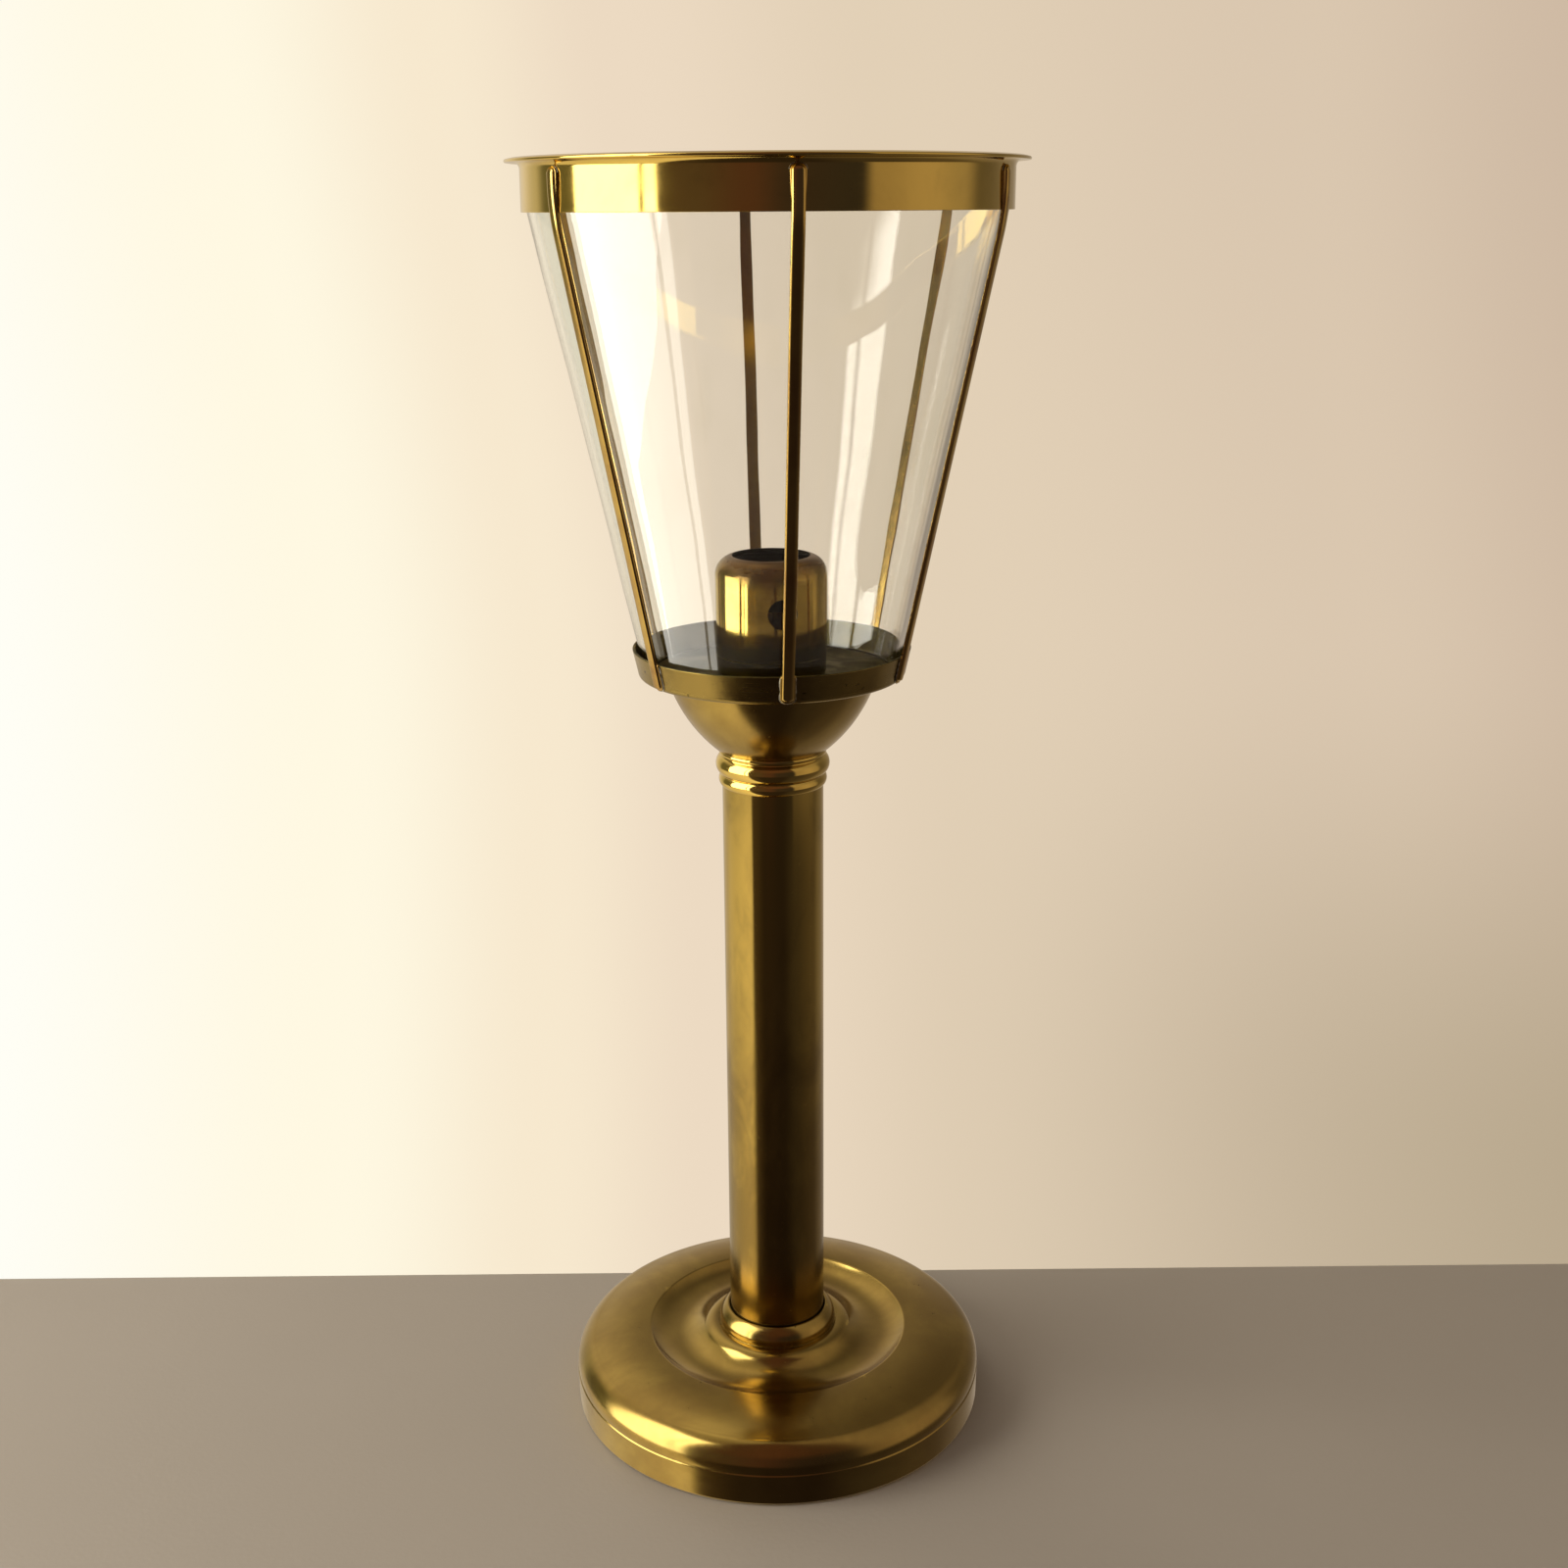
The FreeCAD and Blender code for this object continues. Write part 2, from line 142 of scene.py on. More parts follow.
def turned_piece(name, corners, ease=0.15, steps=192, longest=40.0, sway=0.0, sway_size=20.0):
    """Piece turned about the lamp's axis from its half section of (radius, height, bend)."""
    line = section_line(corners, ease, longest)
    builder = bmesh.new()
    rings = []
    for spot in line:
        if spot.x < 1e-6:
            rings.append([builder.verts.new((0, 0, spot.y))] * steps)
            continue
        ring = []
        for step in range(steps):
            turn = 2 * math.pi * step / steps
            ring.append(builder.verts.new((spot.x * math.cos(turn), spot.x * math.sin(turn), spot.y)))
        rings.append(ring)
    for number, ring in enumerate(rings):
        above = rings[(number + 1) % len(rings)]
        for step in range(steps):
            after = (step + 1) % steps
            corners_round = [ring[step], ring[after], above[after], above[step]]
            distinct = list(dict.fromkeys(corners_round))
            if len(distinct) > 2:
                builder.faces.new(distinct)
    return finish_mesh(name, builder, sway, sway_size)


def put(tree, kind, sockets=None, **settings):
    """Add a node, set its options, and fill its inputs with values or links."""
    node = tree.nodes.new(kind)
    for key, value in settings.items():
        setattr(node, key, value)
    for label, value in (sockets or {}).items():
        socket = node.inputs[label]
        if isinstance(value, bpy.types.NodeSocket):
            tree.links.new(value, socket)
        else:
            socket.default_value = value
    return node


def new_material(name):
    """Material with an empty Principled surface: the tree and its shader."""
    material = bpy.data.materials.new(name)
    material.use_nodes = True
    tree = material.node_tree
    return material, tree, tree.nodes["Principled BSDF"]


def wire(tree, shader, **inputs):
    """Link or set inputs of the surface shader, such as Base_Color for Base Color."""
    for key, value in inputs.items():
        socket = shader.inputs[key.replace("_", " ")]
        if isinstance(value, bpy.types.NodeSocket):
            tree.links.new(value, socket)
        else:
            socket.default_value = value


def calc(tree, operation, first, second=0.0, clamp=False):
    return put(tree, "ShaderNodeMath", {0: first, 1: second}, operation=operation, use_clamp=clamp).outputs[0]


def between(tree, value, low, high, out_low=0.0, out_high=1.0):
    """Value carried smoothly from one range to another, and held at its ends."""
    return put(tree, "ShaderNodeMapRange", {
        "Value": value, "From Min": low, "From Max": high, "To Min": out_low, "To Max": out_high,
    }, interpolation_type="SMOOTHSTEP").outputs["Result"]


def blended(tree, share, first, second):
    """Colour mixed from first to second."""
    return put(tree, "ShaderNodeMix", {0: share, 6: first, 7: second}, data_type="RGBA").outputs[2]


def dress(piece, material):
    piece.data.materials.clear()
    piece.data.materials.append(material)


felt_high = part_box("felt_pad")[1]
felt_radius = felt_high.x / MM
felt_top = felt_high.z / MM
felt = turned_piece("felt_disc", [
    (0, 0), (felt_radius - 0.5, 0), (felt_radius, 0.3), (felt_radius - 0.1, felt_top), (0, felt_top),
], ease=0.4, longest=4.0, sway=0.3, sway_size=1.5)

felt_cloth, tree, shader = new_material("green felt")
where = put(tree, "ShaderNodeTexCoord").outputs["Object"]
nap = put(tree, "ShaderNodeTexNoise", {"Vector": where, "Scale": 1400, "Detail": 6, "Roughness": 0.7})
patches = put(tree, "ShaderNodeTexNoise", {"Vector": where, "Scale": 60, "Detail": 3})
mixed_wool = blended(tree, nap.outputs["Fac"], (0.012, 0.03, 0.018, 1), (0.05, 0.10, 0.055, 1))
worn_wool = blended(tree, between(tree, patches.outputs["Fac"], 0.5, 0.75), mixed_wool, (0.07, 0.10, 0.07, 1))
fibres = put(tree, "ShaderNodeBump", {"Height": nap.outputs["Fac"], "Strength": 0.8, "Distance": 0.0004})
wire(tree, shader, Base_Color=worn_wool, Roughness=0.95, Sheen_Weight=0.4, Normal=fibres.outputs[0])
dress(felt, felt_cloth)
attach(felt, "lamp")
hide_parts("felt_pad")

# ---- iron weight ---------------------------------------------------------------------------
# A plain grey iron ring that fills the foot, cast in sand and left rough. The clamping screw
# goes up through it. It is hidden by the felt and the brass shell.
cast_iron, tree, shader = new_material("sand cast iron")
where = put(tree, "ShaderNodeTexCoord").outputs["Object"]
sand = put(tree, "ShaderNodeTexNoise", {"Vector": where, "Scale": 900, "Detail": 5})
rust = put(tree, "ShaderNodeTexNoise", {"Vector": where, "Scale": 90, "Detail": 5})
rust_share = between(tree, rust.outputs["Fac"], 0.5, 0.7)
iron_colour = blended(tree, rust_share, (0.03, 0.03, 0.032, 1), (0.12, 0.05, 0.025, 1))
iron_skin = put(tree, "ShaderNodeBump", {"Height": sand.outputs["Fac"], "Strength": 0.7, "Distance": 0.0003})
iron_rough = between(tree, sand.outputs["Fac"], 0.3, 0.7, 0.55, 0.8)
wire(tree, shader, Base_Color=iron_colour, Metallic=0.6, Roughness=iron_rough, Normal=iron_skin.outputs[0])
dress(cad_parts["base_weight"], cast_iron)

# ---- foot shell ----------------------------------------------------------------------------
# The round foot: brass sheet spun over a former into a dome with a shallow channel and a
# beaded boss, its edge rolled upright. It is satin with handling, browned in patches.


def new_group(name, takes, gives):
    """Shader group: its tree, the sockets that come in and the sockets that go out."""
    group = bpy.data.node_groups.new(name, "ShaderNodeTree")
    for label, kind, value in takes:
        socket = group.interface.new_socket(name=label, in_out="INPUT", socket_type=f"NodeSocket{kind}")
        if value is not None:
            socket.default_value = value
    for label, kind in gives:
        group.interface.new_socket(name=label, in_out="OUTPUT", socket_type=f"NodeSocket{kind}")
    return group, group.nodes.new("NodeGroupInput").outputs, group.nodes.new("NodeGroupOutput").inputs


def use_group(tree, group, sockets):
    return put(tree, "ShaderNodeGroup", sockets, node_tree=group).outputs


def stretched(tree, where, along, across):
    """Coordinates scaled by along up the axis and by across round it."""
    return put(tree, "ShaderNodeMapping", {"Vector": where, "Scale": (across, across, along)}).outputs[0]


patina, takes, gives = new_group("patina patches", [
    ("Where", "Vector", None), ("Fineness", "Float", 40.0), ("Cover", "Float", 0.5),
    ("Clean", "Color", (0.8, 0.6, 0.15, 1)), ("Browned", "Color", (0.3, 0.2, 0.06, 1)),
], [("Colour", "Color"), ("Mask", "Float")])
broad = put(patina, "ShaderNodeTexNoise", {
    "Vector": takes["Where"], "Scale": takes["Fineness"], "Detail": 7, "Roughness": 0.62, "Distortion": 0.4})
low = calc(patina, "SUBTRACT", 0.82, takes["Cover"])
high = calc(patina, "SUBTRACT", 1.22, takes["Cover"])
browned_share = between(patina, broad.outputs["Fac"], low, high)
patina.links.new(blended(patina, browned_share, takes["Clean"], takes["Browned"]), gives["Colour"])
patina.links.new(browned_share, gives["Mask"])

flecks, takes, gives = new_group("dark flecks", [
    ("Where", "Vector", None), ("Fineness", "Float", 300.0), ("Rarity", "Float", 0.7),
], [("Mask", "Float")])
fleck_noise = put(flecks, "ShaderNodeTexNoise", {
    "Vector": takes["Where"], "Scale": takes["Fineness"], "Detail": 3, "Roughness": 0.6})
fleck_top = calc(flecks, "ADD", takes["Rarity"], 0.06)
flecks.links.new(between(flecks, fleck_noise.outputs["Fac"], takes["Rarity"], fleck_top), gives["Mask"])

drawn_marks, takes, gives = new_group("lengthwise marks", [
    ("Where", "Vector", None), ("Along", "Float", 14.0), ("Across", "Float", 900.0),
], [("Height", "Float"), ("Dulling", "Float")])
pull = put(drawn_marks, "ShaderNodeCombineXYZ", {0: takes["Across"], 1: takes["Across"], 2: takes["Along"]})
pulled = put(drawn_marks, "ShaderNodeVectorMath", {
    0: takes["Where"], 1: pull.outputs[0]}, operation="MULTIPLY")
fine_rub = put(drawn_marks, "ShaderNodeTexNoise", {
    "Vector": pulled.outputs[0], "Scale": 1.0, "Detail": 5, "Roughness": 0.7})
few_rub = put(drawn_marks, "ShaderNodeTexNoise", {"Vector": pulled.outputs[0], "Scale": 0.35, "Detail": 2})
drawn_marks.links.new(fine_rub.outputs["Fac"], gives["Height"])
drawn_marks.links.new(
    calc(drawn_marks, "MULTIPLY", fine_rub.outputs["Fac"], few_rub.outputs["Fac"]), gives["Dulling"])

turned_marks, takes, gives = new_group("turned marks", [
    ("Where", "Vector", None), ("Fineness", "Float", 1500.0),
], [("Height", "Float"), ("Dulling", "Float")])
parts = put(turned_marks, "ShaderNodeSeparateXYZ", {0: takes["Where"]}).outputs
out_from_axis = calc(turned_marks, "SQRT", calc(
    turned_marks, "ADD", calc(turned_marks, "MULTIPLY", parts[0], parts[0]),
    calc(turned_marks, "MULTIPLY", parts[1], parts[1])))
down_the_line = calc(turned_marks, "ADD", calc(turned_marks, "MULTIPLY", out_from_axis, 0.62), parts[2])
lines_run = put(turned_marks, "ShaderNodeCombineXYZ", {
    0: calc(turned_marks, "MULTIPLY", parts[0], 12.0),
    1: calc(turned_marks, "MULTIPLY", parts[1], 12.0),
    2: calc(turned_marks, "MULTIPLY", down_the_line, takes["Fineness"])})
fine_turn = put(turned_marks, "ShaderNodeTexNoise", {
    "Vector": lines_run.outputs[0], "Scale": 1.0, "Detail": 5, "Roughness": 0.7})
few_turn = put(turned_marks, "ShaderNodeTexNoise", {
    "Vector": lines_run.outputs[0], "Scale": 0.35, "Detail": 2})
turned_marks.links.new(fine_turn.outputs["Fac"], gives["Height"])
turned_marks.links.new(
    calc(turned_marks, "MULTIPLY", fine_turn.outputs["Fac"], few_turn.outputs["Fac"]), gives["Dulling"])

edge_wear, takes, gives = new_group("edge wear", [
    ("Least", "Float", 0.54), ("Most", "Float", 0.62),
], [("Mask", "Float")])
sharpness = put(edge_wear, "ShaderNodeNewGeometry").outputs["Pointiness"]
edge_wear.links.new(between(edge_wear, sharpness, takes["Least"], takes["Most"]), gives["Mask"])

# Mask for painted shade: dark where ambient occlusion finds creases and grooves, broken up by noise.
hollow_shade, takes, gives = new_group("grime in hollows", [
    ("Where", "Vector", None), ("Reach", "Float", 0.004), ("Amount", "Float", 1.0),
], [("Mask", "Float")])
openness = put(
    hollow_shade, "ShaderNodeAmbientOcclusion", {"Distance": takes["Reach"]}, samples=6, only_local=True)
shade_noise = put(hollow_shade, "ShaderNodeTexNoise", {"Vector": takes["Where"], "Scale": 350, "Detail": 4})
closed_in = between(hollow_shade, openness.outputs["AO"], 0.75, 0.25)
uneven = between(hollow_shade, shade_noise.outputs["Fac"], 0.25, 0.6)
shaded_hollows = calc(hollow_shade, "MULTIPLY", closed_in, uneven)
hollow_shade.links.new(calc(hollow_shade, "MULTIPLY", shaded_hollows, takes["Amount"]), gives["Mask"])

# Dark colour for real flecks, pits and soot, and for painted shade in hollows and at the pillar's foot.
GRIME_AND_SHADE = (0.020, 0.014, 0.007, 1)


def brass_surface(name, clean, browned, cover, fineness, smooth, dull, turned=True, line_depth=0.00002,
                  fleck_rarity=0.74, painted_shade=0.8, worn=None, waves=0.00006, wave_size=55.0):
    """Brass with patina patches, flecks, rub marks, painted shade in its hollows and bright edges."""
    material, tree, shader = new_material(name)
    where = put(tree, "ShaderNodeTexCoord").outputs["Object"]
    browned_brass = use_group(tree, patina, {
        "Where": where, "Fineness": fineness, "Cover": cover, "Clean": clean, "Browned": browned})
    dark = use_group(tree, flecks, {"Where": where, "Fineness": 420.0, "Rarity": fleck_rarity})["Mask"]
    # Hollows found by occlusion take the dark colour below: painted shade.
    crease_shade = use_group(tree, hollow_shade, {"Where": where, "Reach": 0.003, "Amount": painted_shade})["Mask"]
    edges = use_group(tree, edge_wear, {"Least": 0.53, "Most": 0.60})["Mask"]
    marks = use_group(tree, turned_marks if turned else drawn_marks, {"Where": where})
    colour = blended(tree, calc(tree, "MULTIPLY", edges, 0.6), browned_brass["Colour"], worn or clean)
    colour = blended(tree, calc(tree, "MULTIPLY", dark, 0.8), colour, GRIME_AND_SHADE)
    colour = blended(tree, crease_shade, colour, GRIME_AND_SHADE)
    rough = between(tree, browned_brass["Mask"], 0.0, 1.0, smooth, dull)
    rough = calc(tree, "ADD", rough, calc(tree, "MULTIPLY", marks["Dulling"], 0.14))
    dull_flecks_and_shade = calc(tree, "MULTIPLY", calc(tree, "MAXIMUM", dark, crease_shade), 0.35)
    rough = calc(tree, "ADD", rough, dull_flecks_and_shade, clamp=True)
    swell = put(tree, "ShaderNodeTexNoise", {"Vector": where, "Scale": wave_size, "Detail": 1})
    soft = put(tree, "ShaderNodeBump", {"Height": swell.outputs["Fac"], "Distance": waves, "Strength": 1.0})
    fine = put(tree, "ShaderNodeBump", {
        "Height": marks["Height"], "Distance": line_depth, "Strength": 0.6, "Normal": soft.outputs[0]})
    wire(tree, shader, Base_Color=colour, Metallic=1.0, Roughness=rough, Normal=fine.outputs[0])
    return material


BRIGHT_BRASS = (0.64, 0.455, 0.115, 1)
SATIN_BRASS = (0.43, 0.305, 0.083, 1)
OLD_BRASS = (0.30, 0.200, 0.056, 1)

shell_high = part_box("base_shell")[1]
edge_radius = shell_high.x / MM - 0.2
boss_top = shell_high.z / MM
pillar_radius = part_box("pillar_tube")[1].x / MM
edge_top = boss_top - 17.5
crest_top = boss_top - 6.5
shell = turned_piece("foot_shell", [
    (edge_radius - 2.4, 0.4),
    (edge_radius - 0.8, 0.4, 0.6),
    (edge_radius - 0.2, 1.0),
    (edge_radius, edge_top - 0.3),
    (edge_radius - 0.25, edge_top, 7.2),
    (edge_radius - 5.6, boss_top - 9.2, 42.0),
    (edge_radius - 22.1, crest_top),
    (edge_radius - 22.8, crest_top - 0.6, -12.6),
    (pillar_radius + 8.0, boss_top - 6.9, 5.0),
    (pillar_radius + 3.3, boss_top - 5.3, 5.5),
    (pillar_radius + 0.9, boss_top),
    (pillar_radius + 0.3, boss_top),
    (pillar_radius + 0.3, boss_top - 1.6),
    (pillar_radius + 2.2, boss_top - 3.2),
    (pillar_radius + 2.0, boss_top - 5.9),
    (pillar_radius + 7.0, boss_top - 8.2),
    (pillar_radius + 15.0, boss_top - 10.7),
    (edge_radius - 23.2, crest_top - 1.8),
    (edge_radius - 21.7, crest_top - 1.1),
    (edge_radius - 6.6, boss_top - 10.2),
    (edge_radius - 1.3, edge_top + 2.6),
    (edge_radius - 1.2, edge_top),
    (edge_radius - 1.2, felt_top),
    (edge_radius - 2.4, felt_top),
], ease=0.5, longest=6.0, sway=0.05, sway_size=25.0)
aged_brass = brass_surface(
    "aged spun brass", SATIN_BRASS, OLD_BRASS, 0.55, 34.0, 0.10, 0.19,
    line_depth=0.000008, fleck_rarity=0.72, worn=BRIGHT_BRASS, waves=0.00008)
dress(shell, aged_brass)
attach(shell, "lamp")
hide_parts("base_shell")

# ---- clamping screw, washer and plug -------------------------------------------------------
# A plain steel hexagon screw and washer draw the pillar down on to the foot. The screw enters
# a turned brass plug brazed into the pillar. All three are out of sight.
plain_steel, tree, shader = new_material("plain steel")
where = put(tree, "ShaderNodeTexCoord").outputs["Object"]
tool_marks = use_group(tree, drawn_marks, {"Where": where, "Along": 900.0, "Across": 120.0})
steel_dull = between(tree, tool_marks["Dulling"], 0.1, 0.4, 0.25, 0.5)
steel_tone = blended(tree, tool_marks["Height"], (0.36, 0.36, 0.38, 1), (0.58, 0.57, 0.55, 1))
steel_skin = put(tree, "ShaderNodeBump", {"Height": tool_marks["Height"], "Distance": 0.00002})
wire(tree, shader, Base_Color=steel_tone, Metallic=1.0, Roughness=steel_dull, Normal=steel_skin.outputs[0])
dress(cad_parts["base_screw"], plain_steel)
dress(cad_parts["base_washer"], plain_steel)

turned_brass = brass_surface(
    "turned brass", (0.62, 0.44, 0.12, 1), (0.40, 0.27, 0.08, 1), 0.4, 60.0, 0.22, 0.4, line_depth=0.00003)
dress(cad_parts["foot_plug"], turned_brass)

# ---- pillar --------------------------------------------------------------------------------
# Drawn brass tube that holds the candle and its spring. Its colour is painted lighter near the neck
# and browner lower down, a painted shade where its reflections dim; it is duller lower down, with fine
# scratches that run lengthwise.
tube_low, tube_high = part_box("pillar_tube")
bore_radius = pillar_radius - 1.0
tube_foot = tube_low.z / MM
tube_top = tube_high.z / MM
pillar = turned_piece("pillar", [
    (bore_radius, tube_foot), (pillar_radius, tube_foot), (pillar_radius, tube_top), (bore_radius, tube_top),
], ease=0.2, longest=8.0)

drawn_brass, tree, shader = new_material("drawn brass tube")
where = put(tree, "ShaderNodeTexCoord").outputs["Object"]
level = put(tree, "ShaderNodeSeparateXYZ", {0: where}).outputs[2]
# Patina cover grows towards the bottom: painted shade for the reflections that dim lower down.
cover = between(tree, level, 0.03, 0.185, 0.72, 0.30)
tube_patina_and_shade = use_group(tree, patina, {
    "Where": stretched(tree, where, 0.45, 1.0), "Fineness": 70.0, "Cover": cover,
    "Clean": (0.48, 0.342, 0.088, 1), "Browned": (0.26, 0.178, 0.053, 1)})
pits = use_group(tree, flecks, {"Where": where, "Fineness": 900.0, "Rarity": 0.72})["Mask"]
# Dark band where the pillar enters the boss: painted shade at the joint.
crease_shade = between(tree, level, 0.0282, 0.0270, 0.0, 0.9)
scratches = use_group(tree, drawn_marks, {"Where": where})
tube_colour = blended(tree, calc(tree, "MULTIPLY", pits, 0.7), tube_patina_and_shade["Colour"], GRIME_AND_SHADE)
tube_colour = blended(tree, crease_shade, tube_colour, GRIME_AND_SHADE)
tube_rough = between(tree, level, 0.10, 0.19, 0.13, 0.05)
tube_rough = calc(tree, "ADD", tube_rough, calc(tree, "MULTIPLY", tube_patina_and_shade["Mask"], 0.05))
tube_rough = calc(tree, "ADD", tube_rough, calc(tree, "MULTIPLY", scratches["Dulling"], 0.12))
tube_rough = calc(tree, "ADD", tube_rough, calc(tree, "MULTIPLY", calc(tree, "MAXIMUM", pits, crease_shade), 0.3))
swell = put(tree, "ShaderNodeTexNoise", {
    "Vector": stretched(tree, where, 0.3, 1.0), "Scale": 120, "Detail": 1})
soft = put(tree, "ShaderNodeBump", {"Height": swell.outputs["Fac"], "Distance": 0.00004})
scored = put(tree, "ShaderNodeBump", {
    "Height": calc(tree, "SUBTRACT", scratches["Height"], calc(tree, "MULTIPLY", pits, 1.5)),
    "Distance": 0.000008, "Strength": 0.6, "Normal": soft.outputs[0]})
wire(tree, shader, Base_Color=tube_colour, Metallic=1.0, Roughness=tube_rough, Normal=scored.outputs[0])
dress(pillar, drawn_brass)
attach(pillar, "lamp")
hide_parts("pillar_tube")

# ---- neck collar ---------------------------------------------------------------------------
# Turned ring with a broad bead, a narrow one below it and a thin lip above, pushed over the
# pillar and soft soldered. The beads are polished and their grooves are painted dark as shade.
neck_low, neck_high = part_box("neck_collar")
neck_foot = neck_low.z / MM
neck_top = neck_high.z / MM
neck = turned_piece("neck_beads", [
    (pillar_radius - 0.05, neck_foot),
    (pillar_radius + 0.25, neck_foot, 2.3),
    (pillar_radius + 0.45, neck_foot + 3.1),
    (pillar_radius + 0.45, neck_foot + 3.35, 3.3),
    (pillar_radius + 0.55, neck_foot + 8.5),
    (pillar_radius + 0.45, neck_foot + 8.75, 1.0),
    (pillar_radius + 0.75, neck_top),
    (pillar_radius - 0.05, neck_top),
], ease=0.06, longest=6.0)
polished_brass = brass_surface(
    "polished brass", BRIGHT_BRASS, (0.46, 0.32, 0.085, 1), 0.34, 45.0, 0.05, 0.11,
    line_depth=0.000006, fleck_rarity=0.78, painted_shade=1.0, waves=0.00005)
dress(neck, polished_brass)
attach(neck, "lamp")
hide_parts("neck_collar")

# ---- funnel --------------------------------------------------------------------------------
# Spun bowl between the pillar's neck and the pan, satin and browned like the foot. A thin
# fillet of soft solder closes its joint with the pan.
funnel_low, funnel_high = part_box("funnel_cup")
funnel_foot = funnel_low.z / MM
funnel_top = funnel_high.z / MM
funnel_radius = funnel_high.x / MM
funnel_bend = 42.0
funnel = turned_piece("funnel", [
    (pillar_radius + 0.05, funnel_foot),
    (pillar_radius + 0.9, funnel_foot, funnel_bend),
    (funnel_radius, funnel_top),
    (funnel_radius - 1.2, funnel_top, -funnel_bend),
    (pillar_radius + 0.8, funnel_foot + 1.5),
    (pillar_radius + 0.05, funnel_foot + 1.5),
], ease=0.25, longest=3.0, sway=0.06, sway_size=14.0)
dress(funnel, aged_brass)
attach(funnel, "lamp")
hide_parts("funnel_cup")

soft_solder, tree, shader = new_material("soft solder")
where = put(tree, "ShaderNodeTexCoord").outputs["Object"]
lumps = put(tree, "ShaderNodeTexNoise", {"Vector": where, "Scale": 700, "Detail": 4})
solder_tone = blended(
    tree, between(tree, lumps.outputs["Fac"], 0.35, 0.65), (0.16, 0.14, 0.10, 1), (0.55, 0.52, 0.44, 1))
solder_skin = put(tree, "ShaderNodeBump", {"Height": lumps.outputs["Fac"], "Distance": 0.00015})
solder_rough = between(tree, lumps.outputs["Fac"], 0.3, 0.7, 0.5, 0.28)
wire(tree, shader, Base_Color=solder_tone, Metallic=0.9, Roughness=solder_rough,
     Normal=solder_skin.outputs[0])

seam = turned_piece("funnel_solder", [
    (funnel_radius - 0.9, funnel_top - 0.02),
    (funnel_radius - 0.35, funnel_top - 0.6, -1.2),
    (funnel_radius + 0.5, funnel_top - 0.02),
], ease=0.05, sway=0.12, sway_size=2.5)
dress(seam, aged_brass)
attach(seam, "lamp")

# ---- pan collar ----------------------------------------------------------------------------
# Turned brass ring soldered on the pillar inside the funnel, which carries the pan.
dress(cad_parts["pan_collar"], turned_brass)

# ---- pan -----------------------------------------------------------------------------------
# Shallow pan that catches wax and holds the glass: pressed sheet with a flared rim. Inside it
# is dull and olive with soot and old wax; the rim is rubbed satin.
pan_low, pan_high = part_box("gallery_pan")
pan_under = pan_low.z / MM
rim_top = pan_high.z / MM
rim_radius = pan_high.x / MM
sheet = 0.8
turn_in = 1.4
band_low_z, band_high_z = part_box("top_band")[0].z / MM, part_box("top_band")[1].z / MM
band_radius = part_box("top_band")[1].x / MM - 3.9
cage_slope = (band_radius - rim_radius) / (band_low_z - rim_top)
rim_foot_radius = rim_radius - cage_slope * (rim_top - pan_under - turn_in)
pan = turned_piece("pan", [
    (pillar_radius + 0.05, pan_under),
    (rim_foot_radius - 1.1, pan_under, 1.5),
    (rim_foot_radius, pan_under + turn_in),
    (rim_radius, rim_top),
    (rim_radius - sheet, rim_top),
    (rim_foot_radius - sheet, pan_under + turn_in + 0.1, -0.9),
    (rim_foot_radius - 1.5, pan_under + sheet),
    (pillar_radius + 0.05, pan_under + sheet),
], ease=0.3, longest=3.0, sway=0.1, sway_size=16.0)

pan_brass, tree, shader = new_material("tarnished pan brass")
where = put(tree, "ShaderNodeTexCoord").outputs["Object"]
surface = put(tree, "ShaderNodeNewGeometry").outputs["Normal"]
facing = put(tree, "ShaderNodeSeparateXYZ", {0: surface}).outputs[2]
inside = between(tree, facing, 0.05, 0.30)
rim_brass = use_group(tree, patina, {
    "Where": where, "Fineness": 55.0, "Cover": 0.45,
    "Clean": (0.30, 0.215, 0.062, 1), "Browned": (0.19, 0.13, 0.040, 1)})
floor_brass = use_group(tree, patina, {
    "Where": where, "Fineness": 90.0, "Cover": 0.62,
    "Clean": (0.21, 0.165, 0.045, 1), "Browned": (0.075, 0.060, 0.018, 1)})
bloom = put(tree, "ShaderNodeTexNoise", {"Vector": where, "Scale": 150, "Detail": 5})
bloom_share = between(tree, bloom.outputs["Fac"], 0.56, 0.72)
floor_tone = blended(tree, bloom_share, floor_brass["Colour"], (0.22, 0.185, 0.09, 1))
pan_colour = blended(tree, inside, rim_brass["Colour"], floor_tone)
soot = use_group(tree, flecks, {"Where": where, "Fineness": 380.0, "Rarity": 0.66})["Mask"]
pan_colour = blended(tree, calc(tree, "MULTIPLY", soot, 0.8), pan_colour, GRIME_AND_SHADE)
pan_lines = use_group(tree, turned_marks, {"Where": where})
pan_rough = between(tree, inside, 0.0, 1.0, 0.12, 0.40)
pan_rough = calc(tree, "ADD", pan_rough, calc(tree, "MULTIPLY", floor_brass["Mask"], 0.12))
pan_rough = calc(tree, "ADD", pan_rough, calc(tree, "MULTIPLY", pan_lines["Dulling"], 0.12))
pan_height = calc(tree, "ADD", pan_lines["Height"], calc(tree, "MULTIPLY", bloom.outputs["Fac"], 3.0))
pan_skin = put(tree, "ShaderNodeBump", {"Height": pan_height, "Distance": 0.00003})
wire(tree, shader, Base_Color=pan_colour, Metallic=1.0, Roughness=pan_rough, Normal=pan_skin.outputs[0])
dress(pan, pan_brass)
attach(pan, "lamp")
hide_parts("gallery_pan")

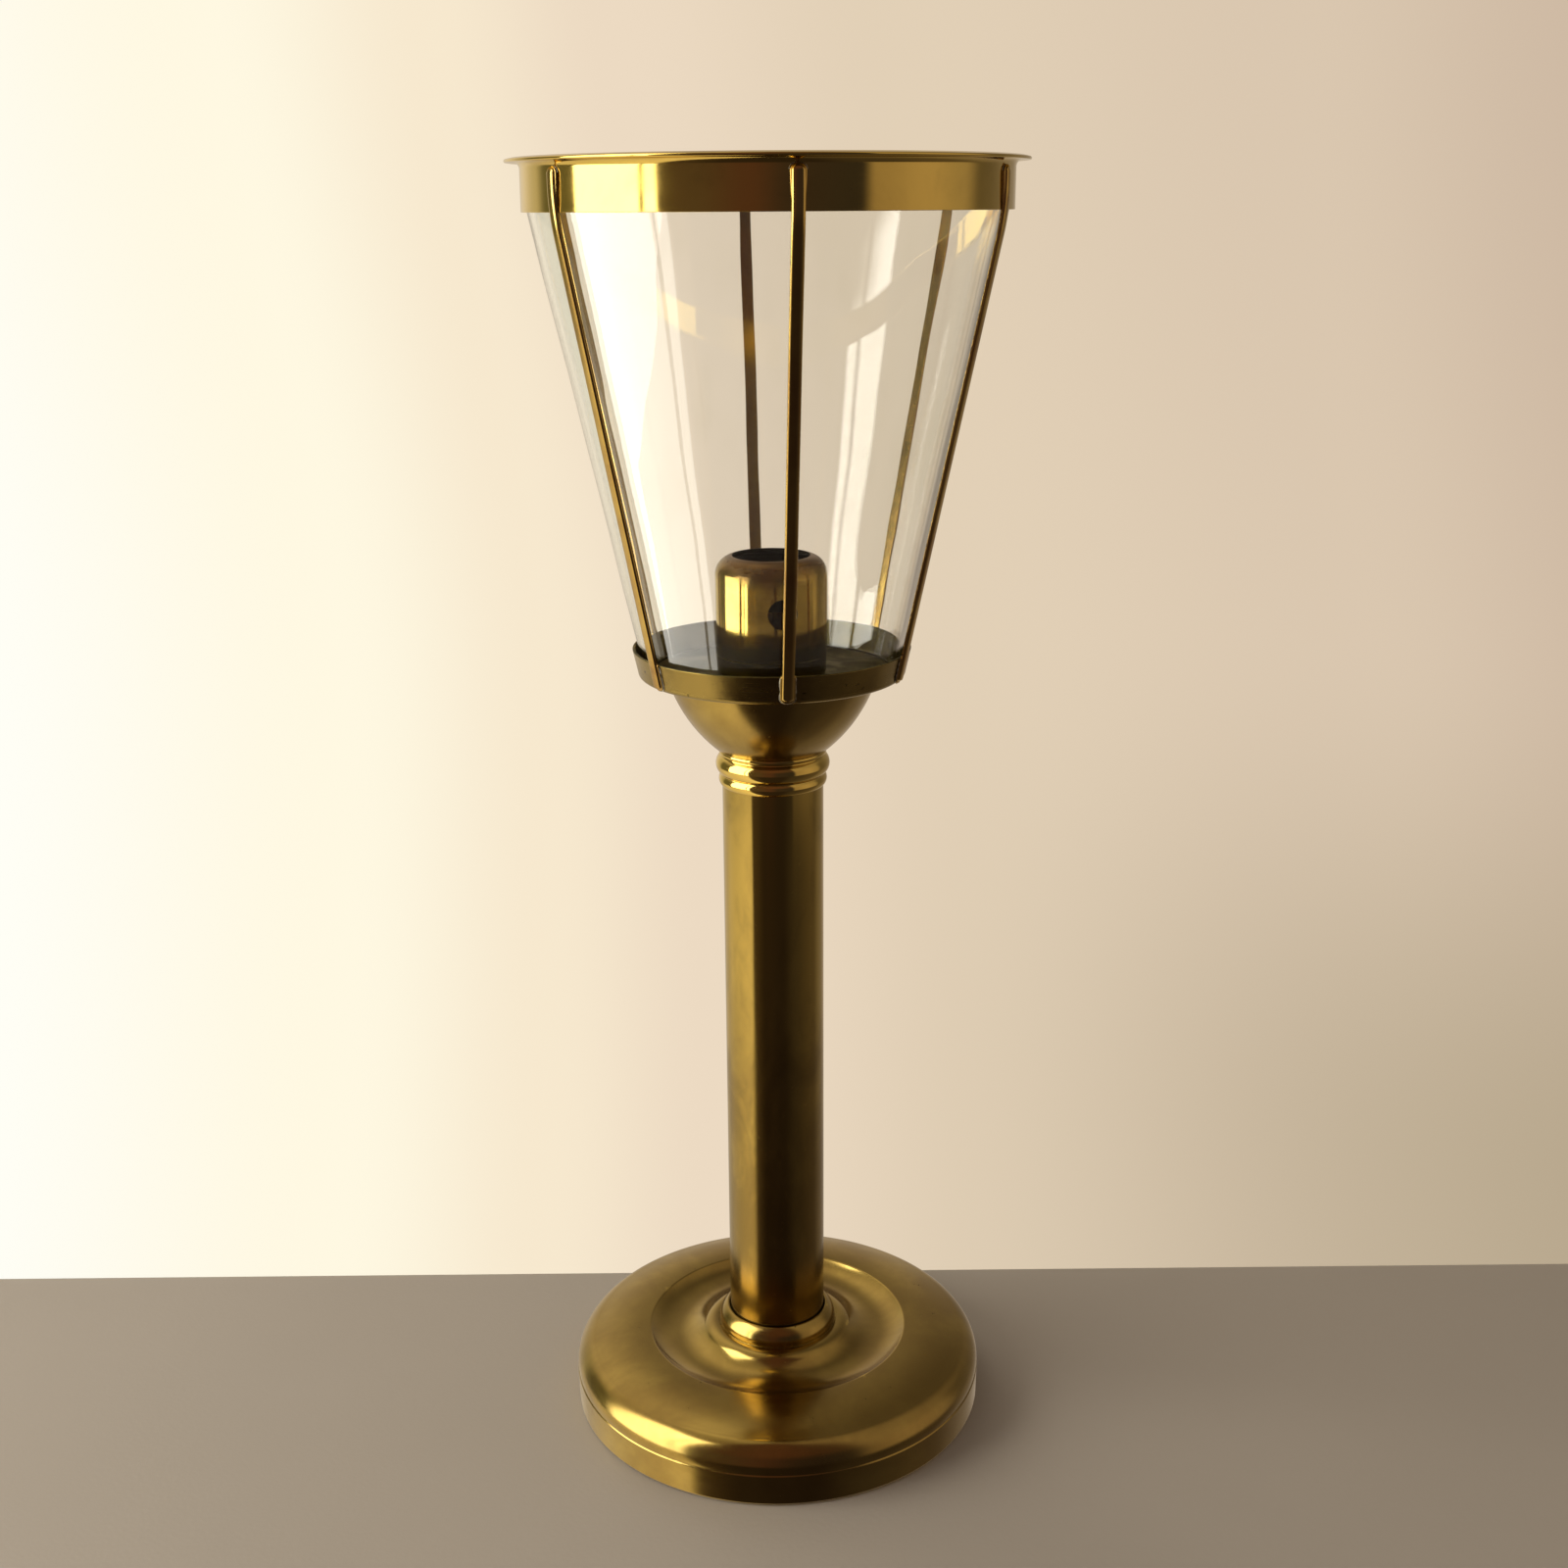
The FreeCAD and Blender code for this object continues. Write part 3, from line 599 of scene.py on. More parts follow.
# ---- top band ------------------------------------------------------------------------------
# Ring of polished sheet that ties the straps together. Its top is rolled outwards over a
# cove into a thin drooping lip.
lip_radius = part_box("top_band")[1].x / MM
cove = 1.9
lip_under = band_high_z - 0.9
band = turned_piece("top_band_rolled", [
    (band_radius - sheet, band_low_z),
    (band_radius, band_low_z),
    (band_radius, lip_under - cove, -cove),
    (band_radius + cove, lip_under),
    (lip_radius - 0.3, lip_under - 0.25, 0.45),
    (lip_radius - 0.4, band_high_z - 0.35),
    (band_radius + cove, band_high_z),
    (band_radius + 0.6, band_high_z, 1.4),
    (band_radius - sheet, band_high_z - 1.4),
], ease=0.15, longest=2.5, sway=0.14, sway_size=22.0)
dress(band, polished_brass)
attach(band, "lamp")
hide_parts("top_band")

# ---- straps --------------------------------------------------------------------------------
# Six half-round brass bars, bent once at the band and hammered thin where they are soldered:
# a widened head on the band and a short foot on the pan's rim, each in a bead of solder.
strap_wide = 3.3
strap_thick = 1.3
plate_wide = 3.9
plate_thick = 0.6
head_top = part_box("strap_1")[1].z / MM
foot_end = pan_under + 0.3


def strap_back(height):
    """Radius of the strap's back: up the glass to the band, then straight up it."""
    slanted = rim_radius - cage_slope * (rim_top - height)
    bend_over = 1.5
    gap = band_radius - slanted
    if gap > bend_over:
        return slanted
    if gap < -bend_over:
        return band_radius
    share = (gap + bend_over) / (2 * bend_over)
    return band_radius - bend_over * share * share


def swept_strap(builder, heights, half_width, thickness, crown):
    """Bar up the -Y side through the given heights, with a crowned face and rounded flanks."""
    rings = []
    for height in heights:
        half, thick = half_width(height), thickness(height)
        back = strap_back(height)
        lean = strap_back(height + 0.5) - strap_back(height - 0.5)
        out = Vector((0, -1, lean)).normalized()
        ring = []
        for step in range(17):
            turn = math.pi * step / 16
            across = -half * math.copysign(abs(math.cos(turn)) ** crown, math.cos(turn))
            rise = 0.12 * thick + 0.88 * thick * math.sin(turn) ** crown
            ring.append(Vector((across, -back, height)) + out * rise)
        ring.insert(0, Vector((-half, -back, height)))
        ring.append(Vector((half, -back, height)))
        rings.append([builder.verts.new(spot) for spot in ring])
    for first, second in zip(rings, rings[1:]):
        for number in range(len(first)):
            after = (number + 1) % len(first)
            builder.faces.new((first[number], first[after], second[after], second[number]))
    builder.faces.new(rings[0])
    builder.faces.new(reversed(rings[-1]))


def spread(low, high, count):
    return [low + (high - low) * number / (count - 1) for number in range(count)]


def rounded_end(height, end, half, depth):
    """Half width of a plate whose end is rounded over a depth."""
    inward = abs(height - end)
    if inward >= depth:
        return half
    share = 1 - inward / depth
    return max(0.25, half * math.sqrt(max(0.0, 1 - share * share)))


def make_strap(number):
    builder = bmesh.new()
    bar_low, bar_high = pan_under + 0.9, head_top - 0.05
    steps = spread(bar_low, bar_low + 0.8, 6) + spread(bar_low + 1.6, band_low_z - 8, 40)
    steps += spread(band_low_z - 7, band_low_z + 7, 24)[:-1]
    steps += spread(band_low_z + 7, bar_high - 1.6, 6) + spread(bar_high - 1.4, bar_high, 8)

    def bar_half(z):
        half = strap_wide / 2
        return min(rounded_end(z, bar_high, half, 1.6), rounded_end(z, bar_low, half, 0.8))

    def bar_thick(z):
        return strap_thick * (0.35 + 0.65 * min(1.0, (bar_high - z) / 1.6 + 0.1) ** 0.5)

    swept_strap(builder, steps, bar_half, bar_thick, 0.62)
    foot_top = rim_top + 0.4
    foot_steps = spread(foot_end, foot_end + 1.6, 7) + spread(foot_end + 2.2, foot_top, 8)

    def foot_half(z):
        return rounded_end(z, foot_end, plate_wide / 2, 1.6)

    def plate_flat(z):
        return plate_thick

    swept_strap(builder, foot_steps, foot_half, plate_flat, 0.35)
    head_low = band_low_z + 1.0
    head_steps = spread(head_low, head_top - 1.7, 12) + spread(head_top - 1.6, head_top, 8)

    def head_half(z):
        flare = min(1.0, max(0.0, (z - head_low) / 9.0))
        half = strap_wide / 2 + (plate_wide - strap_wide) / 2 * flare * flare * (3 - 2 * flare)
        return rounded_end(z, head_top, half, 1.8)

    swept_strap(builder, head_steps, head_half, plate_flat, 0.35)
    turn = math.radians(60 * (number - 1))
    for vertex in builder.verts:
        wobble = noise.noise(Vector((number * 7.3, 0, vertex.co.z / 30))) * 0.10
        vertex.co.x += wobble
    round_lamp = Euler((0, 0, turn)).to_matrix()
    bmesh.ops.rotate(builder, verts=builder.verts, cent=(0, 0, 0), matrix=round_lamp)
    return finish_mesh(f"strap_bar_{number}", builder)


strap_brass = brass_surface(
    "drawn strap brass", (0.56, 0.385, 0.11, 1), (0.34, 0.19, 0.065, 1), 0.45, 60.0, 0.10, 0.22,
    turned=False, line_depth=0.00001, fleck_rarity=0.76, painted_shade=0.5)


def solder_bead(builder, path, size, seed):
    """Small uneven bead laid along a path of points."""
    rings = []
    for number, spot in enumerate(path):
        before = path[max(0, number - 1)]
        after = path[min(len(path) - 1, number + 1)]
        run = (after - before).normalized()
        side = run.cross(Vector((spot.x, spot.y, 0)).normalized()).normalized()
        out = side.cross(run)
        ends = min(number, len(path) - 1 - number) / 2
        uneven = 0.75 + 0.5 * noise.noise(spot * 1.3 + Vector((seed, 0, 0)))
        fat = size * uneven * min(1.0, 0.35 + ends)
        ring = []
        for step in range(8):
            turn = 2 * math.pi * step / 8
            shift = side * math.cos(turn) * fat * 1.5 + out * math.sin(turn) * fat
            ring.append(builder.verts.new(spot + shift))
        rings.append(ring)
    for first, second in zip(rings, rings[1:]):
        for number in range(8):
            after = (number + 1) % 8
            builder.faces.new((first[number], first[after], second[after], second[number]))
    builder.faces.new(rings[0])
    builder.faces.new(reversed(rings[-1]))


def plate_edge(low, high, half, rounded_low):
    """Outline of a soldered plate on the -Y side, from one flank round its end to the other."""
    heights = spread(low, high, 9)
    end = low if rounded_low else high
    flank = [(half, z) for z in (heights[::-1] if rounded_low else heights)]
    arc = []
    for step in range(1, 8):
        turn = math.pi * step / 8
        rise = math.sin(turn) * 1.2 * (-1 if rounded_low else 1)
        arc.append((half * math.cos(turn), end + rise))
    outline = flank + arc + [(-x, z) for x, z in reversed(flank)]
    return [Vector((x, -math.sqrt(max(0, strap_back(z) ** 2 - x * x)) - 0.08, z)) for x, z in outline]


for number in range(1, 7):
    strap = make_strap(number)
    dress(strap, strap_brass)
    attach(strap, "lamp")
    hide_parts(f"strap_{number}")
    builder = bmesh.new()
    half = plate_wide / 2 + 0.05
    solder_bead(builder, plate_edge(foot_end + 1.3, rim_top - 0.3, half, True), 0.22, number)
    solder_bead(builder, plate_edge(band_low_z + 9.0, head_top - 1.2, half, False), 0.12, number + 9)
    turn = Euler((0, 0, math.radians(60 * (number - 1)))).to_matrix()
    bmesh.ops.rotate(builder, verts=builder.verts, cent=(0, 0, 0), matrix=turn)
    beads = finish_mesh(f"strap_solder_{number}", builder)
    dress(beads, soft_solder)
    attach(beads, "lamp")

# ---- glass ---------------------------------------------------------------------------------
# Clear tapered glass, blown thin, ground flat at its foot and fire rounded at its mouth. It
# stands loose in the pan. Its walls have faint lengthwise ripples and a few smears.
glass_low, glass_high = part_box("glass_shade")
glass_foot = glass_low.z / MM
glass_mouth = glass_high.z / MM
mouth_radius = glass_high.x / MM
foot_radius = 34.6
glass_wall = 1.8
glass = turned_piece("glass_cone", [
    (foot_radius - glass_wall, glass_foot + 0.02),
    (foot_radius, glass_foot + 0.02),
    (mouth_radius, glass_mouth - 0.6, 1.05),
    (mouth_radius - glass_wall, glass_mouth - 0.6),
], ease=0.3, steps=256, longest=4.0, sway=0.22, sway_size=26.0)

clear_glass, tree, shader = new_material("clear blown glass")
where = put(tree, "ShaderNodeTexCoord").outputs["Object"]
ripples = put(tree, "ShaderNodeTexNoise", {
    "Vector": stretched(tree, where, 5.0, 70.0), "Scale": 1.0, "Detail": 2})
smears = put(tree, "ShaderNodeTexNoise", {
    "Vector": stretched(tree, where, 30.0, 60.0), "Scale": 1.0, "Detail": 6})
clear_or_smeared = blended(
    tree, between(tree, smears.outputs["Fac"], 0.5, 0.8), (0.985, 0.99, 0.98, 1), (0.95, 0.955, 0.93, 1))
glass_skin = put(tree, "ShaderNodeBump", {"Height": ripples.outputs["Fac"], "Distance": 0.00006})
wire(tree, shader, Base_Color=clear_or_smeared, Metallic=0.0, Roughness=0.0, IOR=1.5,
     Transmission_Weight=1.0, Normal=glass_skin.outputs[0])
let_light = put(tree, "ShaderNodeBsdfTransparent", {"Color": (0.94, 0.95, 0.93, 1)})
shadowing = put(tree, "ShaderNodeLightPath").outputs["Is Shadow Ray"]
seen_or_lit = put(tree, "ShaderNodeMixShader", {0: shadowing, 1: shader.outputs[0], 2: let_light.outputs[0]})
tree.links.new(seen_or_lit.outputs[0], tree.nodes["Material Output"].inputs["Surface"])
dress(glass, clear_glass)
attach(glass, "glass")
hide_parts("glass_shade")

# ---- candle spring -------------------------------------------------------------------------
# Long compression spring of steel wire inside the pillar, its last turns closed up and ground.
# It pushes the candle up as it burns, and shortens when a new candle goes in.
plug_top = 21.0
spring_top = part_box("candle_follower")[0].z / MM + 6.0
spring_radius = 11.3
wire_radius = 0.6
spring_turns = 12
turn_steps = 48
builder = bmesh.new()
rings = []
for step in range(spring_turns * turn_steps + 1):
    share = step / (spring_turns * turn_steps)
    eased = share - 0.035 * math.sin(2 * math.pi * share * 2)
    turn = 2 * math.pi * step / turn_steps
    height = plug_top + wire_radius + (spring_top - plug_top - 2 * wire_radius) * eased
    outward = Vector((math.cos(turn), math.sin(turn), 0))
    ring = []
    for side in range(10):
        tilt = 2 * math.pi * side / 10
        reach = outward * (spring_radius + wire_radius * math.cos(tilt))
        ring.append(builder.verts.new(reach + Vector((0, 0, height + wire_radius * math.sin(tilt)))))
    rings.append(ring)
for first, second in zip(rings, rings[1:]):
    for side in range(10):
        after = (side + 1) % 10
        builder.faces.new((first[side], first[after], second[after], second[side]))
builder.faces.new(rings[0])
builder.faces.new(reversed(rings[-1]))
spring = finish_mesh("spring_coil", builder)
dress(spring, plain_steel)
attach(spring, "lamp")
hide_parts("candle_spring")
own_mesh(spring)

# ---- candle follower -----------------------------------------------------------------------
# Turned brass cup that slides in the pillar on top of the spring and carries the candle.
cup_low, cup_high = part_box("candle_follower")
cup_foot = cup_low.z / MM
cup_radius = cup_high.x / MM
spigot = spring_radius - wire_radius - 0.7
follower = turned_piece("follower_cup", [
    (spigot - 1.2, cup_foot),
    (spigot, cup_foot),
    (spigot, cup_foot + 6.0),
    (cup_radius, cup_foot + 6.0),
    (cup_radius, cup_foot + 18.0),
    (cup_radius - 1.0, cup_foot + 18.0),
    (cup_radius - 1.0, cup_foot + 7.5),
    (0.0, cup_foot + 7.5),
    (0.0, cup_foot + 6.3),
    (spigot - 1.2, cup_foot + 6.3),
], ease=0.25, steps=128)
dress(follower, turned_brass)
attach(follower, "follower")
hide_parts("candle_follower")

# ---- nozzle cap ----------------------------------------------------------------------------
# Spun cap that slips over the pillar and stops the candle. Its top curls in to the flame
# hole, two air holes are drilled through its wall, and the flame has browned its shoulder.
cap_low, cap_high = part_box("nozzle_cap")
cap_foot = cap_low.z / MM
cap_top = cap_high.z / MM
cap_radius = 15.1
flame_hole = 10.2
cap_inside = pillar_radius + 0.07
shoulder = cap_radius - flame_hole
cap = turned_piece("cap_spun", [
    (cap_inside, cap_foot),
    (cap_radius - 0.4, cap_foot),
    (cap_radius, cap_foot + 15.0),
    (cap_radius, cap_top - shoulder, shoulder + 0.3),
    (flame_hole + 0.3, cap_top - 0.05),
    (flame_hole, cap_top - 0.4),
    (flame_hole, cap_top - 1.2, -4.4),
    (cap_inside, cap_top - shoulder - 0.3),
], ease=0.2, longest=1.5)
air_hole = 4.0
air_hole_level = 241.0
cap_turn = math.radians(5.3)
builder = bmesh.new()
bmesh.ops.create_cone(builder, cap_ends=True, segments=64, radius1=air_hole, radius2=air_hole, depth=60.0)
bmesh.ops.rotate(
    builder, verts=builder.verts, cent=(0, 0, 0), matrix=Euler((math.pi / 2, 0, cap_turn)).to_matrix())
bmesh.ops.translate(builder, verts=builder.verts, vec=Vector((0, 0, air_hole_level)))
drill = finish_mesh("drill", builder)
bored = cap.modifiers.new("air holes", "BOOLEAN")
bored.object = drill
bored.operation = "DIFFERENCE"
bored.solver = "EXACT"
cap.modifiers.move(1, 0)
bpy.context.view_layer.update()
drilled = bpy.data.meshes.new_from_object(cap.evaluated_get(bpy.context.evaluated_depsgraph_get()))
cap.modifiers.clear()
cap.data = drilled
bpy.data.objects.remove(drill)
drilled.set_sharp_from_angle(angle=math.radians(40))

cap_brass, tree, shader = new_material("heat browned cap brass")
where = put(tree, "ShaderNodeTexCoord").outputs["Object"]
level = put(tree, "ShaderNodeSeparateXYZ", {0: where}).outputs[2]
uneven_heat = put(tree, "ShaderNodeTexNoise", {"Vector": where, "Scale": 110, "Detail": 5})
heat_shift = calc(tree, "SUBTRACT", uneven_heat.outputs["Fac"], 0.5)
warped_level = calc(tree, "ADD", level, calc(tree, "MULTIPLY", heat_shift, 0.008))
cap_tone = use_group(tree, patina, {
    "Where": where, "Fineness": 80.0, "Cover": 0.42,
    "Clean": (0.60, 0.425, 0.10, 1), "Browned": (0.38, 0.25, 0.065, 1)})
on_shoulder = between(tree, warped_level, 0.2475, 0.2530)
# Darker towards the foot next to the pan: a painted shadow.
shade_near_pan = between(tree, warped_level, 0.2345, 0.2310)
cap_colour = blended(tree, on_shoulder, cap_tone["Colour"], (0.20, 0.115, 0.042, 1))
cap_colour = blended(tree, shade_near_pan, cap_colour, (0.17, 0.135, 0.040, 1))
surface = put(tree, "ShaderNodeNewGeometry").outputs["Normal"]
from_axis = put(tree, "ShaderNodeVectorMath", {0: where, 1: (1, 1, 0)}, operation="MULTIPLY").outputs[0]
outward = put(tree, "ShaderNodeVectorMath", {0: from_axis}, operation="NORMALIZE").outputs[0]
outward_share = put(
    tree, "ShaderNodeVectorMath", {0: surface, 1: outward}, operation="DOT_PRODUCT").outputs["Value"]
upward_share = put(tree, "ShaderNodeSeparateXYZ", {0: surface}).outputs[2]
# Faces turned inward or downward are picked out to be painted dark as shade.
faces_in = between(tree, outward_share, -0.05, -0.35)
faces_down = between(tree, upward_share, -0.1, -0.4)
inner = calc(tree, "MAXIMUM", faces_in, faces_down)
soot = use_group(tree, flecks, {"Where": where, "Fineness": 500.0, "Rarity": 0.70})["Mask"]
crease_shade = use_group(tree, hollow_shade, {"Where": where, "Reach": 0.003, "Amount": 0.6})["Mask"]
# Soot flecks together with painted shade in hollows and on faces turned in or down.
soot_and_shade = calc(tree, "MAXIMUM", calc(tree, "MULTIPLY", soot, 0.6), calc(tree, "MAXIMUM", crease_shade, inner))
cap_colour = blended(tree, soot_and_shade, cap_colour, (0.016, 0.014, 0.010, 1))
cap_marks = use_group(tree, turned_marks, {"Where": where})
cap_rough = between(tree, warped_level, 0.2480, 0.2540, 0.07, 0.26)
cap_rough = calc(tree, "ADD", cap_rough, between(tree, warped_level, 0.2350, 0.2310, 0.0, 0.16))
cap_rough = calc(tree, "ADD", cap_rough, calc(tree, "MULTIPLY", inner, 0.4))
cap_rough = calc(tree, "ADD", cap_rough, calc(tree, "MULTIPLY", cap_marks["Dulling"], 0.12))
swell = put(tree, "ShaderNodeTexNoise", {"Vector": where, "Scale": 90, "Detail": 1})
soft = put(tree, "ShaderNodeBump", {"Height": swell.outputs["Fac"], "Distance": 0.00008})
cap_skin = put(tree, "ShaderNodeBump", {
    "Height": cap_marks["Height"], "Distance": 0.000010, "Strength": 0.6, "Normal": soft.outputs[0]})
wire(tree, shader, Base_Color=cap_colour, Metallic=1.0, Roughness=cap_rough, Normal=cap_skin.outputs[0])
dress(cap, cap_brass)
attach(cap, "cap")
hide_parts("nozzle_cap")

# ---- camera --------------------------------------------------------------------------------
# A long-ish lens a little above the band, looking down at the foot; the cage is turned so
# that its front strap stands just right of the middle.
camera_turn = math.radians(6.2)
camera_away = 0.50975
camera_height = 0.34373
camera_dip = 0.2929
camera_swing = 0.006
camera_roll = -0.0065
lens_length = 44.09
lens = bpy.data.cameras.new("front")
lens.sensor_width = 36.0
lens.lens = lens_length
camera = bpy.data.objects.new("front", lens)
bpy.context.scene.collection.objects.link(camera)
camera.location = (
    -camera_away * math.sin(camera_turn), -camera_away * math.cos(camera_turn), camera_height)
ahead = Vector((
    math.sin(camera_swing) * math.cos(camera_dip),
    math.cos(camera_swing) * math.cos(camera_dip),
    -math.sin(camera_dip)))
ahead.rotate(Euler((0, 0, -camera_turn)))
camera.rotation_mode = "QUATERNION"
camera.rotation_quaternion = ahead.to_track_quat("-Z", "Y") @ Quaternion((0, 0, 1), camera_roll)
bpy.context.scene.camera = camera

# ---- table ---------------------------------------------------------------------------------
# Plain pale table top with a matt painted face; its far edge is a hand's width behind the
# lamp, square to the view. Its sizes are in metres.
table_back = 0.0625
table_left = -0.70
table_right = 1.3
table_front = -1.3
table_thick = 0.025
builder = bmesh.new()
corners = [
    (table_left, table_front), (table_right, table_front),
    (table_right, table_back), (table_left, table_back)]
top = builder.faces.new([builder.verts.new((x / MM, y / MM, 0)) for x, y in corners])
under = bmesh.ops.extrude_face_region(builder, geom=[top])["geom"]
under_corners = [part for part in under if isinstance(part, bmesh.types.BMVert)]
bmesh.ops.translate(builder, verts=under_corners, vec=Vector((0, 0, -table_thick / MM)))
bmesh.ops.bevel(builder, geom=builder.edges[:], offset=1.0, segments=3, profile=0.5, affect="EDGES")
bmesh.ops.rotate(
    builder, verts=builder.verts, cent=(0, 0, 0), matrix=Euler((0, 0, -camera_turn)).to_matrix())
table = finish_mesh("table_top", builder)
table_paint, tree, shader = new_material("matt table paint")
where = put(tree, "ShaderNodeTexCoord").outputs["Object"]
tooth = put(tree, "ShaderNodeTexNoise", {"Vector": where, "Scale": 700, "Detail": 4})
clouds = put(tree, "ShaderNodeTexNoise", {"Vector": where, "Scale": 9, "Detail": 3})
paint_tone = blended(tree, clouds.outputs["Fac"], (0.32, 0.285, 0.24, 1), (0.345, 0.307, 0.26, 1))
paint_skin = put(tree, "ShaderNodeBump", {"Height": tooth.outputs["Fac"], "Distance": 0.00005})
wire(tree, shader, Base_Color=paint_tone, Roughness=0.75, Normal=paint_skin.outputs[0])
dress(table, table_paint)
table.visible_glossy = False
table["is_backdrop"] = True

# ---- light ---------------------------------------------------------------------------------
# A tall two-paned window on the left, a cream wall behind, a dim room in front and a paler wall
# on the right. The lights fall on matt surfaces only; brass and glass mirror the room that the
# world's shader draws, while the view past the lamp shows the plain wall.


def window_pane(name, bearing, away, width, low, high, radiance, colour):
    """Upright soft light at a bearing from the front, seen from the lamp; minus is left."""
    pane = bpy.data.lights.new(name, "AREA")
    pane.shape = "RECTANGLE"
    pane.size = width
    pane.size_y = high - low
    pane.energy = radiance * math.pi * width * (high - low)
    pane.color = colour
    light = bpy.data.objects.new(name, pane)
    bpy.context.scene.collection.objects.link(light)
    turn = math.radians(bearing) - camera_turn
    toward = Vector((math.sin(turn), -math.cos(turn), 0))
    light.location = toward * away + Vector((0, 0, (low + high) / 2))
    light.rotation_mode = "QUATERNION"
    light.rotation_quaternion = toward.to_track_quat("Z", "Y")
    light.visible_camera = False
    light.visible_transmission = False
    light.visible_glossy = False
    return light


sill = -0.04
daylight = (1.0, 0.97, 0.90)
window_pane(
    "window", bearing=-78.0, away=0.75, width=0.50, low=sill, high=0.80, radiance=5.4, colour=daylight)
window_pane(
    "side_pane", bearing=-54.0, away=0.80, width=0.10, low=sill, high=0.60, radiance=6.0, colour=daylight)
window_pane(
    "wall_glow", bearing=-145.0, away=1.30, width=0.80, low=0.20, high=1.10, radiance=1.9,
    colour=(1.0, 0.96, 0.88))
ceiling_radiance = 0.4
ceiling_wide = 2.0
ceiling = bpy.data.lights.new("ceiling_glow", "AREA")
ceiling.size = ceiling_wide
ceiling.energy = ceiling_radiance * math.pi * ceiling_wide ** 2
ceiling.color = (1.0, 0.96, 0.90)
overhead = bpy.data.objects.new("ceiling_glow", ceiling)
bpy.context.scene.collection.objects.link(overhead)
ceiling_height = 1.9
overhead.location = (0, -0.6, ceiling_height)
overhead.visible_camera = False
overhead.visible_transmission = False
overhead.visible_glossy = False

world = bpy.data.worlds.new("room")
bpy.context.scene.world = world
world.use_nodes = True
tree = world.node_tree
tree.nodes.clear()
facing = put(tree, "ShaderNodeMapping", {
    "Vector": put(tree, "ShaderNodeTexCoord").outputs["Generated"],
    "Rotation": (0, 0, camera_turn)}, vector_type="POINT")
parts = put(tree, "ShaderNodeSeparateXYZ", {0: facing.outputs[0]}).outputs


def ramp(tree, value, stops):
    """Colour ramp with (place, colour) stops."""
    node = put(tree, "ShaderNodeValToRGB", {0: value})
    node.color_ramp.interpolation = "EASE"
    while len(node.color_ramp.elements) < len(stops):
        node.color_ramp.elements.new(0.5)
    for element, (place, colour) in zip(node.color_ramp.elements, stops):
        element.position = place
        element.color = (*colour, 1)
    return node.outputs[0]


def round_room(stops):
    """Stops given by bearing in degrees, from behind on the left round to behind on the right."""
    return [((bearing + 180) / 360, colour) for bearing, colour in stops]


higher = between(tree, parts[2], -0.25, 0.12)
across = put(tree, "ShaderNodeMapRange", {
    "Value": calc(tree, "ADD", parts[0], calc(tree, "MULTIPLY", higher, 0.045)),
    "From Min": -0.42, "From Max": 0.42}).outputs["Result"]
wall_tone = ramp(tree, across, [
    (0.0, (1.0, 1.0, 0.94)), (0.24, (1.0, 0.94, 0.76)), (0.36, (0.93, 0.81, 0.62)),
    (0.46, (0.84, 0.70, 0.54)), (0.62, (0.76, 0.63, 0.47)), (0.85, (0.70, 0.57, 0.43)),
    (1.0, (0.62, 0.49, 0.37))])
low_right = calc(
    tree, "MULTIPLY", between(tree, parts[0], 0.0, 0.42), between(tree, parts[2], -0.20, -0.45))
wall_tone = blended(tree, calc(tree, "MULTIPLY", low_right, 0.8), wall_tone, (0.44, 0.36, 0.24, 1))
bearing = calc(tree, "ARCTAN2", parts[0], calc(tree, "MULTIPLY", parts[1], -1.0))
round_share = calc(tree, "ADD", calc(tree, "DIVIDE", bearing, 2 * math.pi), 0.5)
level_tone = ramp(tree, round_share, round_room([
    (-180, (0.62, 0.52, 0.40)), (-150, (0.90, 0.80, 0.62)), (-134, (0.70, 0.64, 0.46)),
    (-122, (0.20, 0.19, 0.11)), (-60, (0.17, 0.13, 0.09)), (-35, (0.12, 0.085, 0.07)),
    (-8, (0.11, 0.055, 0.05)), (12, (0.055, 0.040, 0.045)), (42, (0.045, 0.038, 0.045)),
    (49, (0.44, 0.34, 0.25)), (78, (0.56, 0.44, 0.33)), (98, (0.46, 0.37, 0.28)),
    (112, (0.17, 0.14, 0.11)), (150, (0.30, 0.25, 0.19)), (180, (0.62, 0.52, 0.40))]))
low_tone = ramp(tree, round_share, round_room([
    (-180, (0.55, 0.46, 0.36)), (-140, (0.75, 0.65, 0.48)), (-112, (1.02, 0.90, 0.68)),
    (-53, (1.30, 1.13, 0.85)), (-47, (0.10, 0.07, 0.05)), (-20, (0.040, 0.028, 0.026)),
    (20, (0.034, 0.024, 0.024)), (50, (0.07, 0.055, 0.05)), (100, (0.13, 0.10, 0.08)),
    (130, (0.28, 0.23, 0.18)), (180, (0.55, 0.46, 0.36))]))
high_tone = ramp(tree, round_share, round_room([
    (-180, (0.33, 0.28, 0.22)), (-140, (0.95, 0.83, 0.67)), (-100, (0.60, 0.52, 0.40)),
    (-52, (0.40, 0.32, 0.24)), (-44, (0.13, 0.075, 0.06)), (0, (0.15, 0.070, 0.055)),
    (42, (0.11, 0.065, 0.055)), (49, (0.50, 0.40, 0.30)), (100, (0.42, 0.34, 0.26)),
    (140, (0.17, 0.14, 0.11)), (180, (0.33, 0.28, 0.22))]))
room_tone = blended(tree, between(tree, parts[2], -0.20, -0.34), level_tone, low_tone)
room_tone = blended(tree, between(tree, parts[2], 0.25, 0.60), room_tone, high_tone)
path = put(tree, "ShaderNodeLightPath").outputs
straight_on = calc(tree, "LESS_THAN", path["Glossy Depth"], 0.5)
